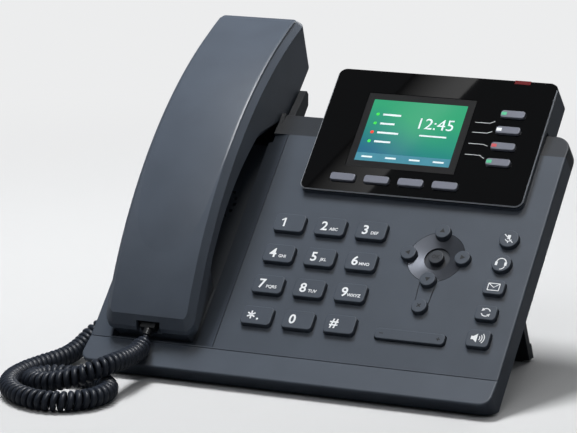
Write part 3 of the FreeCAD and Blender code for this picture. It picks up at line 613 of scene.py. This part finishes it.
def polished(name, colour, rough):
    """Smooth moulded plastic."""
    material, tree, shader, place = new_finish(name)
    mottled(tree, place, shader, colour, spread=0.1, scale=25.0)
    set_inputs(shader, {"Roughness": rough})
    return material


def metal(name, colour, rough):
    """Plated metal, or plastic with a metal coat."""
    material, tree, shader, place = new_finish(name)
    mottled(tree, place, shader, colour, spread=0.08, scale=90.0)
    grained(tree, place, shader, scale=1500.0, depth=0.00002)
    set_inputs(shader, {"Metallic": 0.7, "Roughness": rough})
    return material


def glowing(name, colour, strength):
    """Lit plastic or a lit part of the screen."""
    material, tree, shader, place = new_finish(name)
    mottled(tree, place, shader, colour, spread=0.08, scale=200.0)
    set_inputs(shader, {"Roughness": 0.5, "Specular IOR Level": 0.15})
    set_inputs(shader, {"Emission Color": (*colour, 1.0), "Emission Strength": strength})
    return material


def finish_nodes(material, slot, *names):
    """One finish for several nodes of the frame; the slot is not used."""
    for name in names:
        mesh = frame["nodes"][name].data
        mesh.materials.clear()
        mesh.materials.append(material)


# Stage

def stand_at(obj, place, right, back):
    """Places an object so that its X points to the right and its Z back, away from what it looks at."""
    turn = Matrix(np.c_[right, np.cross(back, right), back].tolist()).to_4x4()
    turn.translation = tuple(place)
    obj.matrix_world = turn
    bpy.context.scene.collection.objects.link(obj)


def aim_camera():
    """The photograph's camera, turned about the upright and raised, at its distance from the crease."""
    c, s = math.cos(CAMERA_TURN), math.sin(CAMERA_TURN)
    right = np.array([c, s, 0.0])
    back = np.array([s * math.cos(CAMERA_RISE), -c * math.cos(CAMERA_RISE), math.sin(CAMERA_RISE)])
    place = (CREASE + np.cross(back, right) * CAMERA_UP + back * CAMERA_DISTANCE) * MM
    data = bpy.data.cameras.new("photo_camera")
    data.sensor_fit = "HORIZONTAL"
    data.sensor_width = SENSOR_WIDTH
    data.lens = FOCAL_PIXELS / PHOTO_WIDTH * SENSOR_WIDTH
    camera = bpy.data.objects.new("photo_camera", data)
    stand_at(camera, place, right, back)
    bpy.context.scene.camera = camera


def soft_lamp(name, place, width, power):
    """A rectangular lamp that looks at the phone."""
    data = bpy.data.lights.new(name, "AREA")
    data.shape = "RECTANGLE"
    data.size = width
    data.size_y = width * LAMP_DEPTH_SHARE
    data.energy = power
    lamp = bpy.data.objects.new(name, data)
    back = np.array(place) - LAMP_AIM
    back /= np.linalg.norm(back)
    right = np.cross((0.0, 0.0, 1.0), back)
    right /= np.linalg.norm(right)
    stand_at(lamp, place, right, back)
    return lamp


def floor_finish():
    """A pale floor: the camera sees it bright, with the phone's shadow near by and an even wash further off,
    while it bounces less light than that."""
    material, tree, shader, place = new_finish("pale_floor")
    mottled(tree, place, shader, FLOOR_TINT, spread=0.015, scale=3.0)
    set_inputs(shader, {"Roughness": FLOOR_ROUGH})
    bounce = add_node(tree, "BsdfDiffuse", {"Color": (*FLOOR_BOUNCE, 1.0)})
    wash = add_node(tree, "Emission", {"Color": (*FLOOR_WASH, 1.0)})
    path = add_node(tree, "LightPath")
    far = add_node(tree, "VectorMath", operation="LENGTH")
    reach = add_node(tree, "MapRange", {"From Min": WASH_START, "From Max": WASH_END})
    reach.interpolation_type = "SMOOTHSTEP"
    seen = add_node(tree, "MixShader")
    mix = add_node(tree, "MixShader")
    wire(
        tree,
        (place, "Object", far, 0),
        (far, "Value", reach, "Value"),
        (reach, "Result", seen, "Fac"),
        (shader, "BSDF", seen, 1),
        (wash, "Emission", seen, 2),
        (path, "Is Camera Ray", mix, "Fac"),
        (bounce, "BSDF", mix, 1),
        (seen, "Shader", mix, 2),
        (mix, "Shader", tree.nodes["Material Output"], "Surface"),
    )
    return material


def glare_card():
    """A dim card over the phone that the gloss panel mirrors: its light fades away from one slanted edge."""
    near = [(x, y, CARD_HEIGHT) for x, y in CARD_EDGE]
    away = [(x - CARD_WIDTH, y, CARD_HEIGHT) for x, y in reversed(CARD_EDGE)]
    material, tree, shader, _ = new_finish("glare_card")
    glow = add_node(tree, "Attribute")
    glow.attribute_name = "glow"
    wire(tree, (glow, "Fac", shader, "Emission Strength"))
    set_inputs(shader, {"Emission Color": (1.0, 1.0, 1.0, 1.0), "Base Color": (*CARD_TINT, 1.0)})
    card = add_mesh("glare_card", near + away, [(0, 1, 2, 3)], material)
    values = card.data.attributes.new("glow", "FLOAT", "POINT")
    values.data.foreach_set("value", [*CARD_GLOW, 0.0, 0.0])
    card.visible_shadow = False


def pale_world():
    """Dim light from all round, and a pale ground where the camera looks past the floor."""
    world = bpy.data.worlds.new("studio")
    bpy.context.scene.world = world
    world.use_nodes = True
    tree = world.node_tree
    dim = tree.nodes["Background"]
    set_inputs(dim, {"Color": (*WORLD_TINT, 1.0), "Strength": WORLD_STRENGTH})
    bright = add_node(tree, "Background", {"Color": (*WORLD_SEEN, 1.0)})
    path = add_node(tree, "LightPath")
    mix = add_node(tree, "MixShader")
    wire(
        tree,
        (path, "Is Camera Ray", mix, "Fac"),
        (dim, "Background", mix, 1),
        (bright, "Background", mix, 2),
        (mix, "Shader", tree.nodes["World Output"], "Surface"),
    )


class DESKPHONE_OT_stage(bpy.types.Operator):
    """Camera, pale floor and soft studio light"""

    bl_idname = "desk_phone.stage"
    bl_label = "Stage"

    def execute(self, context):
        context.scene.view_settings.view_transform = "Standard"
        aim_camera()
        level = bar(-FLOOR_HALF, FLOOR_HALF, -FLOOR_HALF, FLOOR_HALF)
        floor = add_mesh("floor", np.c_[level, np.zeros(4)], [(0, 1, 2, 3)], floor_finish())
        pale_world()
        lamps = {name: soft_lamp(name, *values) for name, values in LAMPS.items()}
        # The panel would mirror the key light, so gloss comes from a lamp of its own
        lamps["key_light"].visible_glossy = False
        lamps["sheen_light"].visible_diffuse = False
        glare_card()
        return {"FINISHED"}


# Cord

def cord_line():
    """The route's smooth line: a NURBS spline with the route as its control points, read back as points."""
    shift = np.array([0.0, CREASE[1] * MM, 0.0])
    route = np.array([BASE_END, *CORD_ROUTE, HANDSET_END]) + shift
    curve = bpy.data.curves.new("cord_line", "CURVE")
    curve.dimensions = "3D"
    curve.resolution_u = SPLINE_POINTS
    spline = curve.splines.new("NURBS")
    spline.points.add(len(route) - 1)
    spline.points.foreach_set("co", np.c_[route, np.ones(len(route))].ravel())
    spline.order_u = 3
    spline.use_endpoint_u = True
    return curve_parts(curve)[0]


def distances(line):
    """How far along a line each of its points lies."""
    return np.r_[0.0, np.cumsum(np.linalg.norm(np.diff(line, axis=0), axis=1))]


def along(line, places):
    """Points of a line at given distances along it."""
    return np.stack([np.interp(places, distances(line), line[:, k]) for k in range(3)], axis=1)


def coil_tube(line, start, end, total):
    """The wire's surface: a circle carried along a helix round the line that closes in at the cord's ends."""
    pitch = sizes().coil_pitch
    wire_radius = sizes().wire_diameter / 2
    coil_radius = sizes().coil_diameter / 2 - wire_radius
    places = np.linspace(start, end, int((end - start) / pitch * TURN_POINTS) + 1)
    spots = along(line, places)
    ahead = unit(np.gradient(spots, axis=0))
    side = unit(np.cross(ahead, (0.0, 0.0, 1.0)))
    over = np.cross(side, ahead)
    fade = eased(np.minimum(places, total - places) / (CLOSING_TURNS * pitch))
    phase = 2 * math.pi * places / pitch
    outward = np.cos(phase)[:, None] * side + np.sin(phase)[:, None] * over
    helix = spots + outward * (coil_radius * fade)[:, None]
    run = unit(np.gradient(helix, axis=0))
    outward = unit(outward - (outward * run).sum(axis=1)[:, None] * run)
    across = np.cross(run, outward)
    angle = np.linspace(0, 2 * math.pi, WIRE_POINTS, endpoint=False)
    ring = np.cos(angle)[None, :, None] * outward[:, None] + np.sin(angle)[None, :, None] * across[:, None]
    tube = helix[:, None] + ring * wire_radius
    rows, columns = tube.shape[:2]
    faces = grid_faces(rows, columns, wrap_columns=True)[:, ::-1].tolist()
    faces.append(list(range(columns)))
    faces.append(list(range((rows - 1) * columns, rows * columns))[::-1])
    return tube.reshape(-1, 3), faces


class DESKPHONE_OT_cord(bpy.types.Operator):
    """Coiled handset cord: one length on the desk, and the length that hangs from the handset"""

    bl_idname = "desk_phone.cord"
    bl_label = "Coiled cord"

    def execute(self, context):
        line = cord_line()
        total = distances(line)[-1]
        hanging = total - HANGING_LENGTH
        finish = satin("cord_rubber", colours().cord, rough=0.38, spread=0.1)
        lengths = {"coiled_cord_on_desk": (0.0, hanging), "coiled_cord_hanging": (hanging, total)}
        made = {}
        for name, (start, end) in lengths.items():
            points, faces = coil_tube(line, start, end, total)
            made[name] = add_mesh(name, points, faces, finish, smooth=True)
        low, high = made["coiled_cord_on_desk"], made["coiled_cord_hanging"]
        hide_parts("coiled_cord")
        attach(low, "base")
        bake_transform(high)
        return {"FINISHED"}


class DESKPHONE_OT_shells(bpy.types.Operator):
    """Finishes of the shells, keys and inner parts"""

    bl_idname = "desk_phone.shells"
    bl_label = "Shells and keys"

    def execute(self, context):
        self.outside()
        self.inside()
        return {"FINISHED"}

    def outside(self):
        """Shells, keys, screen, stand, feet and plugs."""
        tint = colours()
        keys = [n for n in frame["nodes"] if n.endswith("_key") or n.startswith("key_")]
        panel_keys = [n for n in frame["nodes"] if n.startswith(("soft_key", "line_key"))]
        slate = satin("slate_satin", tint.slate)
        finish_nodes(slate, "slate_plastic", "screen_housing", "volume_rocker", *keys)
        # The top shell's band above the key face gets painted shade
        finish_nodes(band_painted_shade("shell_satin_painted_band_shade", tint.slate, BAND_PAINTED_SHADE), "slate_plastic", "top_shell")
        # The handset's slate is made a quarter lighter than the shell's: painted light
        handset = satin("handset_satin_painted_light", [HANDSET_PAINTED_LIGHT * c for c in tint.slate], rough=0.4, sheen=0.55)
        finish_nodes(handset, "slate_plastic", "handset_back_shell", "handset_front_shell")
        dark = satin("dark_satin", tint.dark)
        finish_nodes(dark, "dark_plastic", "bottom_shell", "stand", "hook_plunger", "ok_key")
        finish_nodes(satin("grey_key_satin", GREY_KEY, rough=0.35), "grey_key", *panel_keys)
        finish_nodes(polished("panel_gloss", tint.panel, rough=0.02), "gloss_black", "screen_panel")
        finish_nodes(satin("screen_frame_grey", SCREEN_FRAME, rough=0.3), "display", "lcd_module")
        finish_nodes(glowing("lamp_red", LAMP_RED, strength=0.1), "lamp_red", "message_lamp")
        finish_nodes(metal("dish_silver", DISH_SILVER, rough=0.36), "silver_plastic", "nav_dish")
        foot = satin("foot_rubber", FOOT_BLACK, rough=0.8)
        finish_nodes(foot, "black_rubber", "front_feet", "stand_feet")
        plug = polished("plug_moulding", PLUG_BLACK, rough=0.3)
        finish_nodes(plug, "clear_plug", "base_plug", "handset_plug")

    def inside(self):
        """Boards, mat, speakers, screws and jacks."""
        finish_nodes(satin("board_green", BOARD_GREEN), "board", "main_board", "screen_board")
        finish_nodes(satin("mat_rubber", MAT_GREY, rough=0.7), "grey_rubber", "keypad_mat")
        steel = metal("plated_steel", PLATED_STEEL, rough=0.35)
        finish_nodes(steel, "speaker_steel", "loudspeaker", "receiver", "handset_microphone")
        finish_nodes(metal("screw_zinc", SCREW_ZINC, rough=0.3), "screw_steel", "housing_screws")
        jack = polished("jack_moulding", JACK_BLACK, rough=0.3)
        jacks = ("network_jacks", "cord_jacks", "power_jack", "handset_jack", "hook_switch")
        finish_nodes(jack, "jack_black", *jacks)


class DESKPHONE_OT_handset(bpy.types.Operator):
    """Soft crown on the handset's arched back"""

    bl_idname = "desk_phone.handset"
    bl_label = "Handset crown"

    def execute(self, context):
        shell = "handset_back_shell"
        low, high = face_box(shell)
        middle = (low[0] + high[0]) / 2
        half = (high[0] - low[0]) / 2 - CROWN_RIM
        start, end = low[1] + CROWN_FOOT, high[1] - CROWN_HEAD
        points, faces = self.crown(middle, half, self.apex(shell), high[2], start, end)
        finish = bpy.data.materials["handset_satin_painted_light"]
        crown = add_mesh("handset_crown", to_row(points), faces, finish, smooth=True)
        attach(crown, "handset")
        return {"FINISHED"}

    def apex(self, name):
        """How far up the slope the back is highest: the mean place of the node's highest points."""
        spots = to_face(mesh_points(frame["nodes"][name].data))
        return spots[spots[:, 2] > spots[:, 2].max() - APEX_BAND, 1].mean()

    def crown(self, middle, half, apex_y, top, start, end):
        """Height over an arc along the slope, plus a rise that falls as the square of the distance from the
        middle and fades at both ends, less the distance past a rounded outline; the underside is sunk in the
        shell."""
        side = np.r_[-half - CROWN_ROLL, np.linspace(-half, half, CROWN_COLUMNS), half + CROWN_ROLL]
        place = np.r_[start - CROWN_ROLL, np.linspace(start, end, CROWN_ROWS), end + CROWN_ROLL]
        x, y = np.meshgrid(side, place, indexing="ij")
        across = np.clip(x / half, -1.0, 1.0)
        past_x = np.abs(x) - half + CROWN_CORNER
        past_y = np.abs(y - (start + end) / 2) - (end - start) / 2 + CROWN_CORNER
        past = np.hypot(np.maximum(past_x, 0.0), np.maximum(past_y, 0.0)) - CROWN_CORNER
        fade = eased(np.minimum(y - start, end - y) / CROWN_FADE)
        arch = top - BACK_ARC + np.sqrt(BACK_ARC ** 2 - (y - apex_y) ** 2)
        rise = sizes().handset_crown / MM * (1 - across ** 2) * fade
        height = arch + CROWN_LIFT + rise - np.maximum(past, 0.0)
        over = np.stack([middle + x, y, height], axis=-1).reshape(-1, 3)
        under = over - (0.0, 0.0, CROWN_SUNK)
        count = len(over)
        faces = grid_faces(*x.shape)
        edge = grid_edge(*x.shape)
        after = np.roll(edge, -1)
        sides = np.stack([edge, edge + count, after + count, after], axis=1)
        return np.concatenate([over, under]), np.concatenate([faces[:, ::-1], faces + count, sides[:, ::-1]])


class DESKPHONE_OT_screen(bpy.types.Operator):
    """Screen picture, a pale strip painted as a highlight round the panel's edge, line lights and the thin
    lines that lead to the line keys
    """

    bl_idname = "desk_phone.screen"
    bl_label = "Screen"

    def execute(self, context):
        x, y, top = face_top("lcd_module")
        self.picture(x, y, top)
        self.contents(x, y, top + FILM)
        self.painted_rim_highlight()
        self.leads()
        self.lights()
        return {"FINISHED"}

    def picture(self, x, y, top):
        """A thin lit plate that rides on the base."""
        half, tall = PICTURE_WIDTH / 2, PICTURE_HEIGHT / 2
        points, faces = slab(bar(x - half, x + half, y - tall, y + tall), top, top + FILM)
        obj = add_mesh("screen_picture", to_row(points), faces, self.picture_finish(x, y, top))
        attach(obj, "base")

    def picture_finish(self, x, y, top):
        """Light that runs from one tint to the other up the slope and to the right, with a soft drift."""
        material, tree, shader, place = new_finish("screen_picture")
        middle = to_row([(x, y, top)])[0]
        half = PICTURE_WIDTH / 2 * MM
        tall = PICTURE_HEIGHT / 2 * MM * math.sin(FACE_TILT)
        split = add_node(tree, "SeparateXYZ")
        upwards = add_node(tree, "MapRange", {"From Min": middle[2] - tall, "From Max": middle[2] + tall})
        span = {"From Min": middle[0] - half, "From Max": middle[0] + half, "To Min": -0.2, "To Max": 0.2}
        sideways = add_node(tree, "MapRange", span)
        both = add_node(tree, "Math", operation="ADD")
        noise = add_node(tree, "TexNoise", {"Scale": 30.0})
        drift = add_node(tree, "Math", {1: 0.5}, "MULTIPLY_ADD")
        ramp = colour_ramp(tree, (0.25, colours().screen_bottom), (1.0, colours().screen_top))
        wire(
            tree,
            (place, "Object", split, "Vector"),
            (place, "Object", noise, "Vector"),
            (split, "Z", upwards, "Value"),
            (split, "X", sideways, "Value"),
            (upwards, "Result", both, 0),
            (sideways, "Result", both, 1),
            (noise, "Fac", drift, 0),
            (both, "Value", drift, 2),
            (drift, "Value", ramp, "Fac"),
            (ramp, "Color", shader, "Emission Color"),
        )
        set_inputs(shader, {"Emission Strength": 0.95, "Base Color": (*SCREEN_GLASS, 1.0)})
        set_inputs(shader, {"Roughness": 0.06})
        return material

    def contents(self, x, y, low):
        """Plain clock digits on the right, dots and bars on the left, bars on a strip along the bottom."""
        high = low + FILM
        middle = np.array([x, y])
        rows = [ROW_TOP - ROW_PITCH * n for n in range(4)]
        bars = [bar(*CLOCK_BAR)]
        for up, length in zip(rows, ROW_LENGTHS):
            bars.append(bar(ROW_LEFT, ROW_LEFT + length, up - ROW_HALF, up + ROW_HALF))
        for n in range(4):
            bars.append(bar(*FOOT_BAR) + (FOOT_LEFT + FOOT_PITCH * n, 0.0))
        parts = [lettering("12:45", CLOCK_HEIGHT, 0.0, *(middle + CLOCK_PLACE), low, FILM)]
        parts += [slab(outline + middle, low, high) for outline in bars]
        printed("screen_print", parts, "lcd_module", glowing("screen_print", SCREEN_PRINT, strength=0.3))
        strip = bar(-PICTURE_WIDTH / 2, PICTURE_WIDTH / 2, -PICTURE_HEIGHT / 2, STRIP_TOP) + middle
        parts = [slab(strip, low - STRIP_HALF_FILM, low + STRIP_HALF_FILM)]
        printed("screen_strip", parts, "lcd_module", glowing("screen_strip", SCREEN_STRIP, strength=0.5))
        for n, tint in enumerate(ROW_DOTS):
            name = "screen_dot_%d" % (n + 1)
            dot = disc(DOT_ACROSS, rows[n], DOT_RADIUS) + middle
            finish = glowing(name, DOT_TINTS[tint], strength=0.25)
            printed(name, [slab(dot, low, high)], "lcd_module", finish)

    def painted_rim_highlight(self):
        """A painted highlight round three sides of the panel: a pale strip, a small triangle in section,
        carried along the rounded outline.
        """
        low, high = face_box("screen_panel")
        r = PANEL_CORNER
        left, right, bottom, top = low[0] + r, high[0] - r, low[1] + r, high[1] - r
        quarters = [arc(0, 0, 1, 180, 270), arc(0, 0, 1, 270, 360)]
        count = len(quarters[0])
        ways = np.vstack([[(-1.0, 0.0)], *quarters, [(1.0, 0.0)]])
        hubs = np.array([(left, top), *[(left, bottom)] * count, *[(right, bottom)] * count, (right, top)])
        flat = hubs[:, None] + ways[:, None] * (r + RIM_SECTION[:, 0])[None, :, None]
        rise = np.broadcast_to(high[2] + RIM_SECTION[:, 1], flat.shape[:2])
        points = np.concatenate([flat, rise[..., None]], axis=2).reshape(-1, 3)
        rows = len(ways)
        faces = grid_faces(rows, 3, wrap_columns=True).tolist()
        faces += [[2, 1, 0], [3 * rows - 3, 3 * rows - 2, 3 * rows - 1]]
        obj = add_mesh("panel_rim_painted_highlight", to_row(points), faces, polished("rim_gloss_painted_highlight", RIM_PAINTED_HIGHLIGHT, rough=0.3))
        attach(obj, body_of("screen_panel"))

    def leads(self):
        """White lines on the panel: a level run from the screen, then a short slant to each line key."""
        _, screen = face_box("lcd_module")
        low = face_top("screen_panel")[2]
        near, bend, far = (screen[0] + run for run in LEAD_RUN)
        parts = []
        for n, (start, end) in enumerate(zip(LEAD_STARTS, LEAD_ENDS)):
            key_y = face_top("line_key_%d" % (n + 1))[1]
            route = [(near, key_y + start), (bend, key_y + start), (far, key_y + end)]
            parts.append(slab(stroke(route, LEAD_WIDTH), low, low + LEAD_LIFT))
        printed("lead_lines", parts, "screen_panel", satin("lead_white", LEAD_WHITE, rough=0.4))

    def lights(self):
        """A lit bar set on the left end of each line key."""
        for n, tint in enumerate(LINE_LIGHTS):
            node, name = "line_key_%d" % (n + 1), "line_light_%d" % (n + 1)
            _, y, top = face_top(node)
            left = face_box(node)[0][0] + LIGHT_INSET
            outline = bar(left, left + LIGHT_LENGTH, y - LIGHT_HALF, y + LIGHT_HALF)
            finish = glowing(name, LIGHT_TINTS[tint], strength=0.15)
            printed(name, [slab(outline, top, top + LIGHT_LIFT)], node, finish)


# Icons: outlines round a key's middle, in millimetres

def mute_icon():
    """A microphone with a stroke across it."""
    return [
        stroke([(0, -0.4), (0, 1.9)], 1.5),
        stroke(arc(0, 0, 1.6, 200, 340), THIN_LINE),
        stroke([(0, -1.6), (0, -2.6)], THIN_LINE),
        stroke([(-2.4, 2.2), (2.4, -2.2)], THIN_LINE),
    ]


def headset_icon():
    """A head band, two ear pads and a boom."""
    return [
        stroke(arc(0, 0, 2.4, 0, 180), BOLD_LINE),
        bar(-2.9, -1.7, -1.6, 0.4),
        bar(1.7, 2.9, -1.6, 0.4),
        stroke(arc(0, -1.4, 2.2, 270, 350, 8), THIN_LINE),
    ]


def envelope_icon():
    """A letter's outline with its flap."""
    edge = bar(-2.8, 2.8, -1.9, 1.9)
    sides = [stroke([edge[n], edge[(n + 1) % 4]], THIN_LINE) for n in range(4)]
    return sides + [stroke([edge[3], (0, -0.3), edge[2]], THIN_LINE)]


def redial_icon():
    """Two arrows that chase each other round a circle."""
    outlines = []
    for start in (20, 200):
        sweep = arc(0, 0, 2.1, start, start + 120)
        outlines += [stroke(sweep, BOLD_LINE), arc(*sweep[-1], 1.0, start + 210, start + 450, 3)]
    return outlines


def speaker_icon():
    """A loudspeaker's cone and three sound waves."""
    cone = [(-3.4, -0.9), (-2.2, -0.9), (-0.4, -2.4), (-0.4, 2.4), (-2.2, 0.9), (-3.4, 0.9)]
    return [np.array(cone)] + [stroke(arc(-0.6, 0, r, -42, 42), 0.45) for r in (1.5, 2.6, 3.7)]


def volume_icon():
    """A minus and a plus at the ends of the rocker."""
    return [
        stroke([(-15.2, 0), (-13.2, 0)], THIN_LINE),
        stroke([(13.2, 0), (15.2, 0)], THIN_LINE),
        stroke([(14.2, -1.0), (14.2, 1.0)], THIN_LINE),
    ]


def digit_one(tall):
    """An upright with a short flag."""
    return [bar(0, 0.85, -tall / 2, tall / 2), stroke([(-1.3, 0.22 * tall), (0.3, 0.42 * tall)], 0.7)]


def star(tall):
    """Three crossed lines, with a dot to their lower right."""
    arms = [stroke(arc(0, 0, 0.45 * tall, a, a + 180, 2), 0.75) for a in (30, 90, 150)]
    return arms + [disc(3.6, -0.4 * tall, 0.55)]


def cross_icon():
    """Two crossed lines."""
    return [stroke(arc(0, 0, CROSS_RADIUS, a, a + 180, 2), BOLD_LINE) for a in (45, 135)]


ICONS = {
    "mute_key": mute_icon,
    "headset_key": headset_icon,
    "message_key": envelope_icon,
    "redial_key": redial_icon,
    "speaker_key": speaker_icon,
    "volume_rocker": volume_icon,
}
DRAWN_DIGITS = {"1": digit_one, "*": star}


class DESKPHONE_OT_labels(bpy.types.Operator):
    """White digits and letters on the dialling keys, and icons on the other keys"""

    bl_idname = "desk_phone.labels"
    bl_label = "Key print"

    def execute(self, context):
        white = satin("key_print", colours().print, rough=0.45, spread=0.03)
        grey = satin("arrow_print", ARROW_GREY)
        for node, (digit, letters) in DIAL_KEYS.items():
            printed(node + "_print", self.dial(node, digit, letters), node, white)
        for node, draw in ICONS.items():
            finish = grey if node == "volume_rocker" else white
            printed(node + "_icon", self.raised(node, draw()), node, finish)
        for node, turn in ARROW_TURNS.items():
            tip = arc(0, 0, ARROW_RADIUS, turn, turn + 240, 3)
            printed(node + "_arrow", self.raised(node, [tip]), node, grey)
        printed("ok_key_print", [self.typed("ok_key", "OK", OK_HEIGHT)], "ok_key", grey)
        printed("cancel_key_print", self.raised("cancel_key", cross_icon()), "cancel_key", grey)
        return {"FINISHED"}

    def raised(self, node, outlines, across=0.0):
        """Outlines set on a node's top and raised by the print's thickness."""
        x, y, low = face_top(node)
        lift = sizes().print_lift / MM
        return [slab(outline + (x + across, y), low, low + lift) for outline in outlines]

    def typed(self, node, words, height, across=0.0, up=0.0):
        """A line of type set on a node's top."""
        x, y, low = face_top(node)
        return lettering(words, height, TYPE_WEIGHT, x + across, y + up, low, sizes().print_lift / MM)

    def dial(self, node, digit, letters):
        """A digit left of the key's middle, and small letters to its lower right."""
        tall = sizes().digit_height / MM
        if digit in DRAWN_DIGITS:
            parts = self.raised(node, DRAWN_DIGITS[digit](tall), DIGIT_SHIFT)
        else:
            parts = [self.typed(node, digit, tall, DIGIT_SHIFT)]
        if letters:
            across, up = LETTER_SHIFT
            parts.append(self.typed(node, letters, sizes().letter_height / MM, DIGIT_SHIFT + across, up))
        return parts


class DESKPHONE_PT_panel(bpy.types.Panel):
    """Sizes, colours and the pieces in the order that they are made"""

    bl_idname = "DESKPHONE_PT_panel"
    bl_label = "Desk phone"
    bl_space_type = "VIEW_3D"
    bl_region_type = "UI"
    bl_category = "Desk phone"

    def draw(self, context):
        for group in (sizes(), colours()):
            for name in group.__annotations__:
                self.layout.prop(group, name)
        for operator in OPERATORS:
            self.layout.operator(operator.bl_idname)


OPERATORS = (
    DESKPHONE_OT_stage,
    DESKPHONE_OT_cord,
    DESKPHONE_OT_shells,
    DESKPHONE_OT_handset,
    DESKPHONE_OT_screen,
    DESKPHONE_OT_labels,
)
CLASSES = (DeskPhoneSizes, DeskPhoneColours, *OPERATORS, DESKPHONE_PT_panel)


def register():
    for item in CLASSES:
        bpy.utils.register_class(item)
    bpy.types.Scene.desk_phone_sizes = bpy.props.PointerProperty(type=DeskPhoneSizes)
    bpy.types.Scene.desk_phone_colours = bpy.props.PointerProperty(type=DeskPhoneColours)


def unregister():
    del bpy.types.Scene.desk_phone_colours
    del bpy.types.Scene.desk_phone_sizes
    for item in reversed(CLASSES):
        bpy.utils.unregister_class(item)


def main():
    register()
    bpy.ops.desk_phone.stage()
    bpy.ops.desk_phone.cord()
    bpy.ops.desk_phone.shells()
    bpy.ops.desk_phone.handset()
    bpy.ops.desk_phone.screen()
    bpy.ops.desk_phone.labels()


if __name__ == "__main__":
    main()
